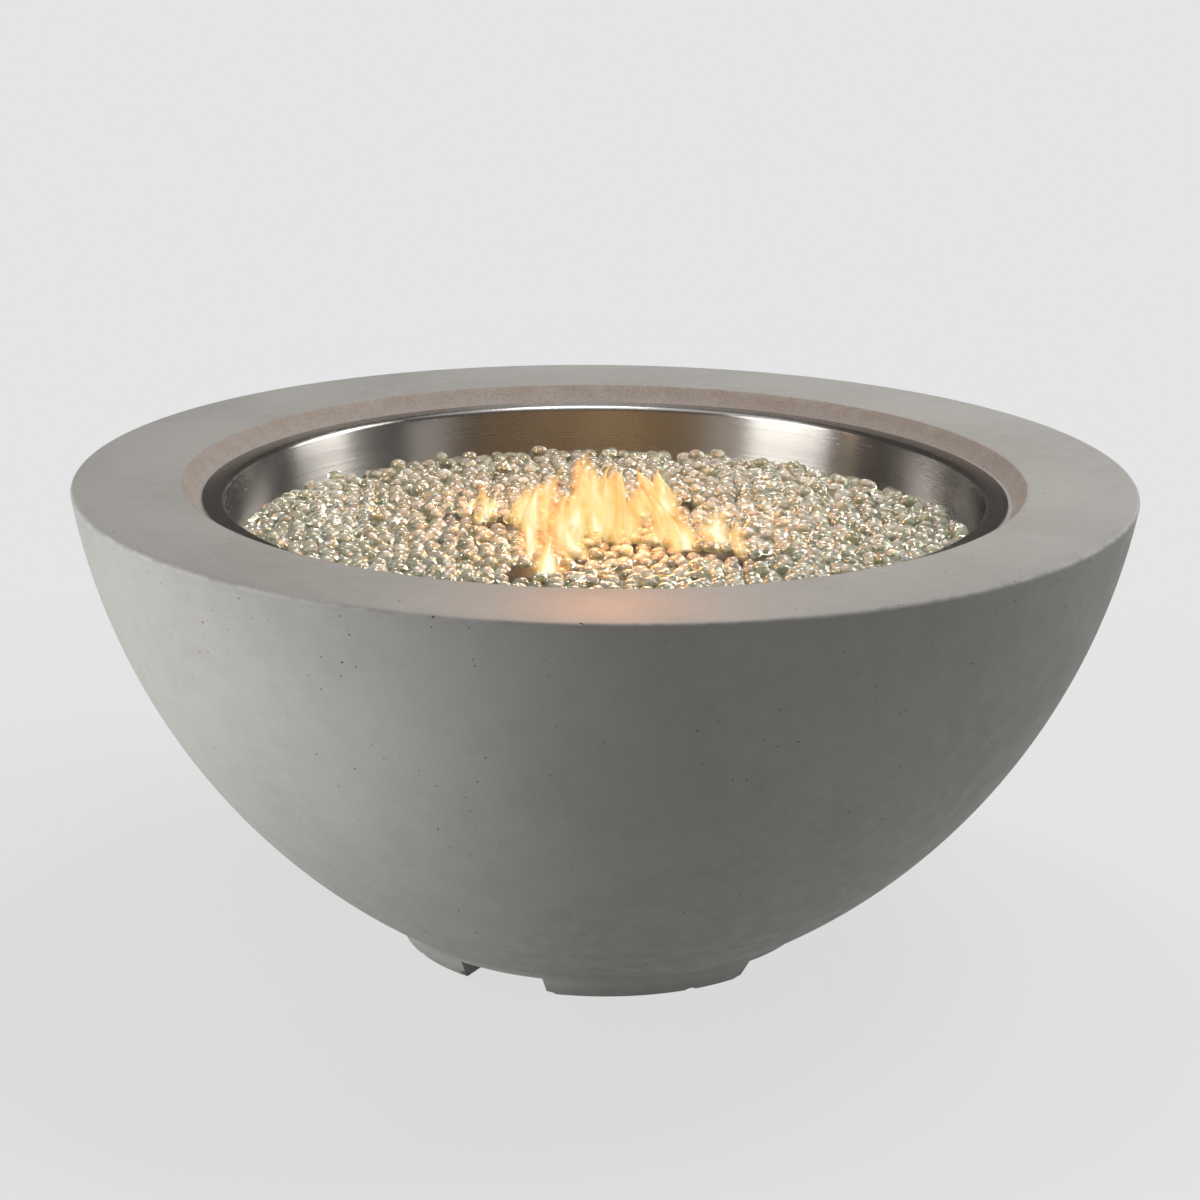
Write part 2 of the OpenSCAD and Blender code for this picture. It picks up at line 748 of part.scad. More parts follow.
// Middle of a gem's cell, and its tip
function gem_middle(place) = [gem_pitch * (place[0] + place[1] / 2), gem_row * place[1]];
function gem_tip(place) = concat(
    gem_middle(place) + gem_scatter * [chance(place, 1), chance(place, 2)],
    gem_tip_z + gem_uneven * chance(place, 3)
);

// A gem has its place where its cell clears the pan and its middle isn't over the burner
function over_burner(at) =
    let (near = min(abs(at.x), abs(at.y)), far = max(abs(at.x), abs(at.y)))
    near < arm_w / 2 && far < arm_l;
function is_gem(place) =
    let (at = gem_middle(place))
    norm(at) < gem_reach && !over_burner(at);

// Corner k of a cell, anticlockwise from 30 degrees, as the index of a point that its neighbours share: each
// place owns the corner at its +Y end, and in the next layer the one at its -Y end
function gem_index(place) = (place[0] + gem_span) * gem_side + place[1] + gem_span;
gem_corner_owners = [[0, 1], [0, 0], [-1, 1], [0, -1], [0, 0], [1, -1]];
gem_neighbours = [[1, 0], [0, 1], [-1, 1], [-1, 0], [0, -1], [1, -1]];
function gem_corner(place, k, layer) =
    let (owner = place + gem_corner_owners[k % 6], end_layer = layer + 1 - k % 2)
    end_layer * gem_side ^ 2 + gem_index(owner);

// One sheet of gems, each with six sides that rise from its cell's corners to its tip
module gem_sheet() {
    places = [for (i = [-gem_span:gem_span], j = [-gem_span:gem_span]) [i, j]];
    gems = [for (place = places) if (is_gem(place)) place];
    foot_layer = 1;
    under_layer = 3;
    points = concat(
        [for (place = places) gem_tip(place)],
        [for (z = [gem_foot_z, sheet_under_z], way = [1, -1], place = places)
            concat(gem_middle(place) + [0, way * gem_cell_r], z)]
    );
    sides = [for (place = gems, k = [0:5])
        [gem_index(place), gem_corner(place, k + 1, foot_layer), gem_corner(place, k, foot_layer)]];
    undersides = [for (place = gems) [for (k = [0:5]) gem_corner(place, k, under_layer)]];
    edges = [for (place = gems, k = [0:5])
        if (!is_gem(place + gem_neighbours[k]))
            [gem_corner(place, k + 5, foot_layer), gem_corner(place, k, foot_layer),
                gem_corner(place, k, under_layer), gem_corner(place, k + 5, under_layer)]];
    polyhedron(points, concat(sides, undersides, edges));
}

module fire_glass() {
    wide = glass_gap;
    color([0.72, 0.78, 0.75])
        difference() {
            union() {
                rotate_extrude()
                    polygon([
                        [0, pan_floor_z], [pan_corner.x, pan_floor_z], [pan_wall_r(corner_z) - wide, corner_z],
                        [pan_wall_r(bed_z) - wide, bed_z], [0, bed_z]
                    ]);
                gem_sheet();
            }
            translate([0, 0, arm_under_z - wide])
                cross(-wide, bowl_h);
            rod(max(socket_d, locknut_af / cos(30)) + 2 * wide, pan_floor_z - cut, arm_under_z);
            for (turn = [0:90:270])
                rotate(turn)
                    translate([arm_l - leg_inset - leg_flange_l - wide, -leg_w / 2 - wide, pan_floor_z - cut])
                        cube([2 * (leg_flange_l + wide), leg_w + 2 * wide, arm_under_z - pan_floor_z + cut]);
            for (x = [-1, 1])
                translate([x * probe_x, probe_y, 0]) {
                    rod(probe_collar_d + 2 * wide, pan_floor_z - cut, bowl_h);
                    translate([-plate_w / 2 - wide, -plate_l / 2 - wide, pan_floor_z - cut])
                        cube([plate_w + 2 * wide, plate_l + 2 * wide, plate_t + wide + cut]);
                }
        }
}

module cross_burner() {
    color(dark_steel)
        difference() {
            union() {
                translate([0, 0, arm_under_z])
                    cross(0, arm_h);
                rod(socket_d, socket_under_z, arm_under_z + arm_t);
            }
            // The space inside
            translate([0, 0, arm_under_z + arm_t])
                cross(arm_t, arm_h - 2 * arm_t);
            // Socket for the nipple, and the way in above it
            rod(nipple_d + 2 * thread_gap, socket_under_z - cut, arm_under_z);
            rod(nipple_bore_d, socket_under_z, arm_under_z + 2 * arm_t);
            // Ports along both sides of each arm
            for (turn = [0:90:270], k = [1:port_n])
                rotate(turn)
                    translate([arm_w / 2 + k * port_pitch, 0, arm_top_z - port_drop])
                        rotate([90, 0, 0])
                            cylinder(d = port_d, h = arm_w + 2 * cut, center = true);
        }
}

module burner_legs() {
    at = arm_l - leg_inset;
    color(dark_steel)
        for (turn = [0:90:270])
            rotate(turn)
                rotate([90, 0, 0])
                    linear_extrude(leg_w, center = true)
                        polygon([
                            [at, pan_floor_z], [at + leg_flange_l, pan_floor_z],
                            [at + leg_flange_l, pan_floor_z + leg_t], [at + leg_t, pan_floor_z + leg_t],
                            [at + leg_t, arm_under_z], [at + leg_t - leg_flange_l, arm_under_z],
                            [at + leg_t - leg_flange_l, arm_under_z - leg_t], [at, arm_under_z - leg_t]
                        ]);
}

module burner_nipple() {
    low = mixer_top_z - mixer_socket_l;
    color(brass_gold)
        difference() {
            rod(nipple_d, low, arm_under_z);
            rod(nipple_bore_d, low - cut, arm_under_z + cut);
        }
}

module pan_locknuts() {
    color(brass_gold)
        for (z = [pan_floor_z, pan_under_z - locknut_h])
            translate([0, 0, z])
                nut(locknut_af, nipple_d + 2 * thread_gap, locknut_h);
}

// Air windows, four round a tube
module air_windows() {
    for (turn = [0, 90])
        rotate(turn)
            translate([-mixer_d, -window_w / 2, window_z - window_l / 2])
                cube([2 * mixer_d, window_w, window_l]);
}

module air_mixer() {
    color(dark_steel)
        difference() {
            union() {
                rod(mixer_d, mixer_under_z, mixer_top_z);
                rod(mixer_d + 2 * mixer_ledge_w, mixer_under_z, shutter_z);
            }
            rod(nipple_d + 2 * thread_gap, mixer_top_z - mixer_socket_l, mixer_top_z + cut);
            rod(mixer_bore_d, mixer_under_z + mixer_bottom_t, mixer_top_z);
            rod(jet_d + 2 * thread_gap, mixer_under_z - cut, mixer_top_z - mixer_socket_l);
            air_windows();
        }
}

// Places its children on the shutter's locking screw: +Z points out of the sleeve
module on_shutter_screw() {
    translate([0, 0, window_z])
        rotate(45)
            rotate([0, 90, 0])
                children();
}

module air_shutter() {
    outer = shutter_r + shutter_t;
    color(steel_grey)
        difference() {
            union() {
                rod(2 * outer, shutter_z, shutter_z + shutter_l);
                on_shutter_screw()
                    rod(2 * shutter_screw_d, 0, outer + shutter_t);
            }
            rod(2 * shutter_r, shutter_z - cut, shutter_z + shutter_l + cut);
            air_windows();
            on_shutter_screw()
                rod(shutter_screw_d + 2 * thread_gap, 0, 2 * outer);
        }
}

module shutter_screw() {
    seat = shutter_r + 2 * shutter_t;
    color(brass_gold)
        on_shutter_screw() {
            rod(shutter_screw_d, shutter_r + rest_gap, seat);
            rod(2 * shutter_screw_d, seat, seat + shutter_screw_d);
        }
}

module gas_orifice() {
    color(brass_gold)
        difference() {
            union() {
                rod(jet_d, mixer_under_z, mixer_under_z + mixer_bottom_t + jet_tip_l);
                translate([0, 0, jet_hex_z])
                    hexagon(hex_af, hex_t);
                rod(stub_d, jet_end_z, jet_hex_z);
            }
            rod(jet_bore_d, jet_end_z, mixer_top_z);
            rod(stub_bore_d, jet_end_z - cut, mixer_under_z + mixer_bottom_t);
        }
}

module probe_plates() {
    color(steel_grey)
        for (side = [[probe_x, insulator_d], [-probe_x, thermocouple_d]])
            translate([side[0], probe_y, pan_floor_z])
                difference() {
                    translate([-plate_w / 2, -plate_l / 2, 0])
                        cube([plate_w, plate_l, plate_t]);
                    rod(side[1] + 2 * probe_gap, -cut, plate_t + cut);
                }
}

module electrode_insulator() {
    color([0.93, 0.92, 0.88])
        translate([probe_x, probe_y, 0])
            difference() {
                union() {
                    rod(insulator_d, probe_end_z, insulator_tip_z);
                    rod(probe_collar_d, probe_z, probe_z + probe_collar_t);
                }
                rod(rod_d + 2 * rest_gap, probe_end_z + probe_tail_l / 2, insulator_tip_z + cut);
            }
}

module electrode_rod() {
    color(steel_grey)
        translate([probe_x, probe_y, 0])
            rod(rod_d, probe_end_z + probe_tail_l / 2, probe_tip_z);
}

module thermocouple() {
    color(copper_red)
        translate([-probe_x, probe_y, 0]) {
            rod(thermocouple_d, probe_end_z, probe_tip_z - thermocouple_d / 2);
            translate([0, 0, probe_tip_z - thermocouple_d / 2])
                sphere(d = thermocouple_d);
            rod(probe_collar_d, probe_z, probe_z + probe_collar_t);
        }
}

// A lead from a point behind the panel to a probe: it leaves level, and rises to the probe from below
module lead(from, to, d, sides) {
    path = run(from, [0, -1, 0], to, [0, 0, -1], 2 * d, [(from.y - to.y) / 2, lead_dip], 24);
    tube(path, d / 2, sides, [1, 0, 0]);
}

module igniter_lead() {
    from = [button_x, panel_y + terminal_rear, panel_z];
    color([0.75, 0.25, 0.15])
        lead(from, [probe_x, probe_y, probe_end_z], igniter_lead_d, 10);
}

module thermocouple_lead() {
    from = [knob_x, panel_y + magnet_rear, panel_z + magnet_rise];
    color(copper_red)
        lead(from, [-probe_x, probe_y, probe_end_z], thermocouple_lead_d, 8);
}

module control_panel() {
    color(steel_grey)
        difference() {
            on_panel(0)
                translate([0, 0, -panel_t])
                    round_plate(panel_w, panel_h, panel_corner_r, panel_t);
            on_panel(knob_x)
                rod(neck_d + 2 * screw_gap, -panel_t - cut, cut);
            on_panel(button_x)
                rod(igniter_neck_d + 2 * screw_gap, -panel_t - cut, cut);
            for (x = [-1, 1], z = [-1, 1])
                on_panel(x * panel_screw_x, z * panel_screw_z)
                    rod(panel_screw_d + 2 * screw_gap, -panel_t - cut, cut);
        }
}

module panel_inserts() {
    color(brass_gold)
        for (x = [-1, 1], z = [-1, 1])
            on_panel(x * panel_screw_x, z * panel_screw_z)
                difference() {
                    rod(insert_d, -panel_t - insert_l, -panel_t);
                    rod(panel_screw_d + 2 * thread_gap, -panel_t - insert_l - cut, 0);
                }
}

module panel_screws() {
    color(steel_grey)
        for (x = [-1, 1], z = [-1, 1])
            on_panel(x * panel_screw_x, z * panel_screw_z)
                difference() {
                    union() {
                        rod(panel_screw_d, panel_screw_end_gap - panel_t - insert_l, panel_screw_head_t / 2);
                        rod(panel_screw_head_d, 0, panel_screw_head_t);
                    }
                    translate([0, 0, panel_screw_head_t / 2])
                        hexagon(panel_screw_socket_af, panel_screw_head_t);
                }
}

module dial_ring() {
    color(soft_black)
        on_panel(knob_x)
            difference() {
                rod(dial_d, 0, dial_t);
                rod(knob_hollow_d, -cut, dial_t + cut);
            }
}

// A block of the valve's width and height, from one distance off the panel to another
module valve_block(low, high) {
    translate([-valve_w / 2, -valve_w / 2, low])
        cube([valve_w, valve_w, high - low]);
}

// Places its children at the valve's four screws
module at_valve_screws() {
    for (x = [-1, 1], y = [-1, 1])
        translate([x * valve_screw_at, y * valve_screw_at, 0])
            children();
}

module valve_body() {
    color(brass_gold)
        on_panel(knob_x)
            difference() {
                union() {
                    valve_block(valve_rear, -panel_t);
                    rod(neck_d, -panel_t, neck_l);
                }
                rod(stem_d + 2 * stem_gap, valve_rear, neck_l + cut);
                rod(chamber_d, valve_rear - cut, chamber_front);
                at_valve_screws()
                    rod(valve_screw_d + 2 * thread_gap, valve_rear - cut, valve_rear + valve_cap_l);
            }
}

module valve_cap() {
    color(brass_gold)
        on_panel(knob_x)
            difference() {
                union() {
                    valve_block(cap_rear, valve_rear);
                    for (x = [-1, 1])
                        translate([x * stub_pitch / 2, stub_drop, 0])
                            rod(stub_d, stub_rear, cap_rear);
                }
                for (x = [-1, 1])
                    translate([x * stub_pitch / 2, stub_drop, 0])
                        rod(stub_bore_d, stub_rear - cut, valve_rear - valve_cap_l / 2);
                at_valve_screws()
                    rod(valve_screw_d + 2 * screw_gap, cap_rear - cut, valve_rear + cut);
            }
}

module valve_screws() {
    color(steel_grey)
        on_panel(knob_x)
            at_valve_screws() {
                rod(valve_screw_d, cap_rear, valve_rear + valve_cap_l - cut);
                rod(valve_screw_head_d, cap_rear - valve_screw_head_t, cap_rear);
            }
}

module magnet_unit() {
    color(steel_grey)
        on_panel(knob_x, magnet_rise)
            rod(magnet_d, magnet_rear, cap_rear);
}

// The stem's round section with its flat; the bore that fits it is wider by a gap
module stem_section(gap) {
    difference() {
        circle(d = stem_d + 2 * gap);
        translate([-stem_d, stem_d / 2 - stem_flat + gap])
            square(2 * stem_d);
    }
}

module valve_stem() {
    flat_from = knob_lift + knob_hollow_l;
    color(steel_grey)
        on_panel(knob_x) {
            rod(stem_d, stem_rear, flat_from);
            translate([0, 0, flat_from])
                linear_extrude(stem_front - flat_from)
                    stem_section(0);
            rod(chamber_d - 2 * shoulder_gap, shoulder_rear, shoulder_rear + collar_t);
        }
}

module stem_collar() {
    color(brass_gold)
        on_panel(knob_x)
            difference() {
                rod(chamber_d - 2 * stem_gap, collar_rear, collar_rear + collar_t);
                rod(stem_d + 2 * stem_gap, collar_rear - cut, collar_rear + collar_t + cut);
            }
}

module valve_spring() {
    r = (chamber_d + stem_d) / 4;
    low = valve_rear + valve_wire_d / 2 + rest_gap;
    high = collar_rear - valve_wire_d / 2 - rest_gap;
    color(steel_grey)
        on_panel(knob_x)
            tube(helix(r, low, high, valve_spring_n, 12 * valve_spring_n), valve_wire_d / 2, 6, [0, 0, 1]);
}

module valve_nut() {
    color(brass_gold)
        on_panel(knob_x)
            nut(valve_nut_af, neck_d + 2 * thread_gap, valve_nut_t);
}

module control_knob() {
    face = knob_lift + knob_l - pointer_t;
    color(soft_black)
        on_panel(knob_x)
            difference() {
                union() {
                    rod(knob_d, knob_lift, face);
                    // Pointer bar across the face, kept inside the rim
                    intersection() {
                        translate([-pointer_w / 2, -knob_d / 2, face - cut])
                            cube([pointer_w, knob_d, pointer_t + cut]);
                        rod(knob_d - 2 * pointer_inset, face - cut, face + pointer_t);
                    }
                }
                rod(knob_hollow_d, knob_lift - cut, knob_lift + knob_hollow_l);
                translate([0, 0, knob_lift + knob_hollow_l - cut])
                    linear_extrude(stem_front + rest_gap + cut - knob_lift - knob_hollow_l)
                        stem_section(stem_gap);
            }
}

module igniter_housing() {
    color(soft_black)
        on_panel(button_x)
            difference() {
                union() {
                    rod(igniter_neck_d, -panel_t, igniter_neck_l);
                    rod(igniter_flange_d, -panel_t - igniter_flange_t, -panel_t);
                    rod(igniter_d, battery_rear, -panel_t);
                }
                rod(button_d + 2 * button_gap, button_shoulder - cut, igniter_neck_l + cut);
                rod(2 * button_bore_r, spring_rear, button_shoulder);
                rod(battery_d + 2 * battery_gap, battery_rear - cut, battery_front);
            }
}

module igniter_end_cap() {
    color(soft_black)
        on_panel(button_x) {
            rod(igniter_d, end_cap_rear, battery_rear);
            rod(terminal_d, terminal_rear, end_cap_rear);
        }
}

module igniter_button() {
    color([0.72, 0.12, 0.10])
        on_panel(button_x) {
            rod(button_d, spring_front, igniter_neck_l + button_l);
            rod(button_d + 2 * button_rim_w, spring_front, spring_front + button_rim_t);
        }
}

module button_spring() {
    r = button_d / 2 - button_wire_d;
    low = spring_rear + button_wire_d / 2 + rest_gap;
    high = spring_front - button_wire_d / 2 - rest_gap;
    color(steel_grey)
        on_panel(button_x)
            tube(helix(r, low, high, button_spring_n, 12 * button_spring_n), button_wire_d / 2, 6, [0, 0, 1]);
}

module igniter_battery() {
    color([0.25, 0.30, 0.55])
        on_panel(button_x)
            rod(battery_d, battery_rear + battery_gap / 2, battery_front - battery_gap / 2);
}

module igniter_nut() {
    color(soft_black)
        on_panel(button_x)
            difference() {
                rod(igniter_nut_d, 0, igniter_nut_t);
                rod(igniter_neck_d + 2 * thread_gap, -cut, igniter_nut_t + cut);
            }
}

// Where the pipes leave the valve: -1 is the inlet, 1 the way to the burner
function valve_port(side) = [knob_x + side * stub_pitch / 2, panel_y + stub_rear, panel_z - stub_drop];

// A gas pipe from the valve to a connection, straight through its nut at each end
module gas_pipe(from, to, away, reach) {
    straight = flare_nut_l - flare_grip_l + pipe_d / 2;
    path = run(from, [0, -1, 0], to, away, straight, [from.y / 2, reach], 28);
    tube(path, pipe_d / 2, 12, [1, 0, 0]);
}

module inlet_pipe() {
    from = valve_port(-1);
    to = [inlet_x, 0, inlet_end_z];
    rise = (from.z - to.z) / 2;
    color(copper_red)
        gas_pipe(from, to, [0, 0, 1], rise);
}

module burner_pipe() {
    from = valve_port(1);
    to = [0, 0, jet_end_z];
    color(copper_red)
        gas_pipe(from, to, [0, 0, -1], pipe_dip);
}

// A flare nut on a connection: z = 0 is where the pipe meets the connection, which lies above it
module flare_nut() {
    difference() {
        translate([0, 0, flare_grip_l - flare_nut_l])
            hexagon(flare_nut_af, flare_nut_l);
        rod(stub_d + 2 * thread_gap, 0, flare_grip_l + cut);
        rod(pipe_d + 4 * thread_gap, -flare_nut_l, cut);
    }
}

module flare_nuts() {
    color(brass_gold) {
        for (side = [-1, 1])
            translate(valve_port(side))
                rotate([-90, 0, 0])
                    flare_nut();
        translate([0, 0, jet_end_z])
            flare_nut();
        translate([inlet_x, 0, inlet_end_z])
            mirror([0, 0, 1])
                flare_nut();
    }
}

module inlet_fitting() {
    color(brass_gold)
        translate([inlet_x, 0, 0])
            difference() {
                union() {
                    rod(stub_d, bracket_z + hex_t, inlet_end_z);
                    translate([0, 0, bracket_z])
                        hexagon(inlet_nut_af, hex_t);
                    rod(inlet_body_d, inlet_nut_z, bracket_z);
                    rod(inlet_d, inlet_nut_z - inlet_l, inlet_nut_z);
                }
                rod(stub_bore_d, inlet_nut_z - inlet_l - cut, inlet_end_z + cut);
            }
}

module inlet_locknut() {
    color(brass_gold)
        translate([inlet_x, 0, inlet_nut_z])
            nut(inlet_nut_af, inlet_body_d + 2 * thread_gap, inlet_nut_t);
}

module inlet_bracket() {
    leg = bracket_leg_x;
    toe = leg + bracket_foot_l;
    half = [
        [leg + bracket_t, bracket_z], [leg + bracket_t, floor_z + bracket_t], [toe, floor_z + bracket_t],
        [toe, floor_z], [leg, floor_z], [leg, bracket_z - bracket_t]
    ];
    other_half = [for (p = back(half)) [-p.x, p.y]];
    color(steel_grey)
        difference() {
            rotate([90, 0, 0])
                linear_extrude(bracket_w, center = true)
                    polygon(concat(half, other_half));
            translate([inlet_x, 0, 0])
                rod(inlet_body_d + 2 * thread_gap, bracket_z - bracket_t - cut, bracket_z + cut);
            for (x = [-1, 1], y = [-1, 1])
                translate([x * bracket_screw_x, y * bracket_screw_y, 0])
                    rod(bracket_screw_d + 2 * screw_gap, floor_z - cut, floor_z + bracket_t + cut);
        }
}

module bracket_screws() {
    seat = floor_z + bracket_t;
    color(steel_grey)
        for (x = [-1, 1], y = [-1, 1])
            translate([x * bracket_screw_x, y * bracket_screw_y, 0]) {
                rod(bracket_screw_d, floor_z - bracket_screw_l, seat + bracket_screw_head_t / 2);
                translate([0, 0, seat])
                    hexagon(bracket_screw_head_d * cos(30), bracket_screw_head_t);
            }
}

concrete_bowl();
burner_pan();
fire_glass();
cross_burner();
burner_legs();
burner_nipple();
pan_locknuts();
air_mixer();
air_shutter();
shutter_screw();
gas_orifice();
probe_plates();
electrode_insulator();
electrode_rod();
thermocouple();
igniter_lead();
thermocouple_lead();
control_panel();
panel_inserts();
panel_screws();
dial_ring();
valve_body();
valve_cap();
valve_screws();
magnet_unit();
valve_stem();
stem_collar();
valve_spring();
valve_nut();
control_knob();
igniter_housing();
igniter_end_cap();
igniter_button();
button_spring();
igniter_battery();
igniter_nut();
inlet_pipe();
burner_pipe();
flare_nuts();
inlet_fitting();
inlet_locknut();
inlet_bracket();
bracket_screws();
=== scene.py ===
import json
import math
import random

import bmesh
import bpy
from mathutils import Matrix, Quaternion, Vector, kdtree, noise


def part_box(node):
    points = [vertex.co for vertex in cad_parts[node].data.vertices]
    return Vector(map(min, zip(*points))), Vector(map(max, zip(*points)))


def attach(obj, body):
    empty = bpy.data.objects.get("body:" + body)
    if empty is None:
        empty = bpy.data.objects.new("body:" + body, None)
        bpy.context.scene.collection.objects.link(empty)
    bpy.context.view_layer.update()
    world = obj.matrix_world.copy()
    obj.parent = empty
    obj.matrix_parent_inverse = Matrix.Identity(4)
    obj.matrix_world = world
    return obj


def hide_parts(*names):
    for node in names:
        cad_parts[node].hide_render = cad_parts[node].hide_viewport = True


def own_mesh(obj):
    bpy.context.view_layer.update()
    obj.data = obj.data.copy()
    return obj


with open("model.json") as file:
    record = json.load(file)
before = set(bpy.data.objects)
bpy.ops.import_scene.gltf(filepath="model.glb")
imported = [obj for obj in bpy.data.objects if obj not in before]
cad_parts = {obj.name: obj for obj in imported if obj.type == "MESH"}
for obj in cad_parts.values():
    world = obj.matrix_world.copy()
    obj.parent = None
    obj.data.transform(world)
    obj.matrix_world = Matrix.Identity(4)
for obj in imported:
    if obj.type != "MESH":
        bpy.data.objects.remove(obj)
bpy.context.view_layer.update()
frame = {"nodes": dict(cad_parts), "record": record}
nodes = frame["nodes"]
scene = bpy.context.scene
scene.view_settings.view_transform = "Standard"
dice = random.Random(42)

# Sizes in metres, as in the CAD model
RIM_Z = 0.480
RIM_EDGE = 0.004
SIDE_ARC = 0.650
SIDE_CENTRE = (-0.107613, 0.587117)
WALL = 0.022
FLOOR_Z = 0.050
FLOOR_HOLE_R = 0.080
UNDER_RIM_Z = 0.436
FOOT_H = 0.020
FOOT_TOP_Z = 0.025
FOOT_R = 0.205
FOOT_INNER_R = 0.145
CHANNEL_X_W = 0.138
CHANNEL_Y_W = 0.092
SEAT_Z = 0.463
SEAT_R = 0.408
SEAT_TOP_R = 0.422
THROAT_R = 0.3875
PAN_R = 0.381
FLANGE_R = 0.404
FLANGE_Z = 0.4645
PAN_FLOOR_Z = 0.3695
PAN_T = 0.0015
PAN_DRAFT = math.radians(6)
LIP_R = 0.006
PAN_CORNER_R = 0.012
GLASS_Z = 0.4145
GLASS_GAP = 0.0005
GEM_PITCH = 0.020
GEM_ROW = GEM_PITCH * math.sqrt(3) / 2
GEM_SCATTER = 0.003
GEM_UNEVEN = 0.0015
GEM_TIP_Z = GLASS_Z + 0.007
GEM_FOOT_Z = GLASS_Z - 0.005
SHEET_UNDER_Z = GEM_FOOT_Z - 0.0045
ARM_L = 0.180
ARM_W = 0.034
ARM_TOP_Z = 0.4175
PROBE = (0.033, 0.075)
PANEL_Y = 0.457505
PANEL_Z = 0.330
RECESS = (0.153, 0.079)
RECESS_FLOOR_Y = PANEL_Y - 0.002
WINDOW = (0.122, 0.048)
SURROUND_W = 0.016
SURROUND_IN_Y = 0.4315
SURROUND_LOW_Y = 0.4475
SURROUND_TOP_Y = 0.495
NIPPLE_HOLE_R = 0.0108
DRAIN_N = 8
DRAIN_R = 0.004
DRAIN_OUT = 0.32
KNOB_X = -0.032
BUTTON_X = 0.038

# The photograph's point of view
AZIMUTH = math.radians(27.7)
PITCH = math.radians(15.91)
ROLL = math.radians(0.568)
TOWARDS = Vector((math.sin(AZIMUTH), -math.cos(AZIMUTH), 0))
RIGHT = Vector((math.cos(AZIMUTH), math.sin(AZIMUTH), 0))
CAMERA_OUT = 3.4061
CAMERA_LEFT = 0.0041
CAMERA_Z = 1.320
LENS = 104.5


# Mesh helpers
CORNER_STEPS = 4


def side_r(z, inset=0.0):
    """The radius of the bowl's round side at a height."""
    return SIDE_CENTRE[0] + math.sqrt((SIDE_ARC - inset) ** 2 - (z - SIDE_CENTRE[1]) ** 2)


def arc(centre, r, start, end, steps):
    """Points along an arc, with angles in radians."""
    turns = [start + (end - start) * k / steps for k in range(steps + 1)]
    return [(centre[0] + r * math.cos(a), centre[1] + r * math.sin(a)) for a in turns]


def rounded(corners):
    """A closed path from (r, z, radius) corners, each one rounded by its radius."""
    path = []
    for k, (x, y, radius) in enumerate(corners):
        here = Vector((x, y))
        if radius == 0:
            path.append(here)
            continue
        before = (Vector(corners[k - 1][:2]) - here).normalized()
        after = (Vector(corners[(k + 1) % len(corners)][:2]) - here).normalized()
        half = math.acos(max(-1.0, min(1.0, before.dot(after)))) / 2
        centre = here + (before + after).normalized() * (radius / math.sin(half))
        first = here + before * (radius / math.tan(half)) - centre
        last = here + after * (radius / math.tan(half)) - centre
        turn = first.angle_signed(last)
        for i in range(CORNER_STEPS + 1):
            path.append(centre + Matrix.Rotation(-turn * i / CORNER_STEPS, 2) @ first)
    return [(p[0], p[1]) for p in path]


def divided(path, step):
    """A closed path with its long stretches cut up into steps."""
    result = []
    for a, b in zip(path, path[1:] + path[:1]):
        count = max(1, math.ceil(math.dist(a, b) / step))
        for i in range(count):
            share = i / count
            result.append((a[0] + (b[0] - a[0]) * share, a[1] + (b[1] - a[1]) * share))
    return result


def add_object(name, data, material=None, sharp=None):
    """Adds a mesh, lamp or camera. A mesh can be smooth but for edges over an angle in degrees."""
    obj = bpy.data.objects.new(name, data)
    scene.collection.objects.link(obj)
    if material:
        data.materials.append(material)
    if sharp:
        smooth(data, sharp)
    return obj


def smooth(mesh, sharp):
    mesh.shade_smooth()
    mesh.set_sharp_from_angle(angle=math.radians(sharp))


def baked(name, built):
    mesh = bpy.data.meshes.new(name)
    built.to_mesh(mesh)
    built.free()
    return mesh


def raw_mesh(name, points, faces):
    mesh = bpy.data.meshes.new(name)
    mesh.from_pydata(points, [], faces)
    mesh.update()
    return mesh


def mesh_of(name, points, faces):
    """A mesh with its doubled points joined and its faces turned outwards."""
    built = bmesh.new()
    corners = [built.verts.new(p) for p in points]
    for face in faces:
        built.faces.new([corners[i] for i in face])
    bmesh.ops.remove_doubles(built, verts=built.verts, dist=1e-7)
    bmesh.ops.recalc_face_normals(built, faces=built.faces)
    return baked(name, built)


def lathe(name, path, segments, radius=None):
    """A closed path in section turned about Z. radius(r, z, turn) can change each point's radius."""
    points = []
    for k in range(segments):
        turn = 2 * math.pi * k / segments
        for r, z in path:
            here = radius(r, z, turn) if radius else r
            points.append((here * math.cos(turn), here * math.sin(turn), z))
    n = len(path)
    faces = []
    for k in range(segments):
        for i in range(n):
            j = (i + 1) % n
            ring = (k + 1) % segments
            if path[i][0] == 0 and path[j][0] == 0:
                continue
            face = [k * n + i, k * n + j, ring * n + j, ring * n + i]
            if path[i][0] == 0:
                face.pop(3)
            elif path[j][0] == 0:
                face.pop(2)
            faces.append(face)
    return mesh_of(name, points, faces)


def box_mesh(name, low, high):
    x, y, z = zip(low, high)
    points = [(x[i], y[j], z[k]) for i in (0, 1) for j in (0, 1) for k in (0, 1)]
    faces = [(0, 1, 3, 2), (4, 6, 7, 5), (0, 4, 5, 1), (2, 3, 7, 6), (0, 2, 6, 4), (1, 5, 7, 3)]
    return mesh_of(name, points, faces)


def shape(obj, operation, *meshes):
    """Adds or cuts other meshes into an object's mesh."""
    for mesh in meshes:
        tool = add_object("tool", mesh)
        change = obj.modifiers.new("change", "BOOLEAN")
        change.operation = operation
        change.solver = "EXACT"
        change.object = tool
        changed = obj.evaluated_get(bpy.context.evaluated_depsgraph_get())
        result = bpy.data.meshes.new_from_object(changed)
        obj.modifiers.clear()
        obj.data = result
        bpy.data.objects.remove(tool)


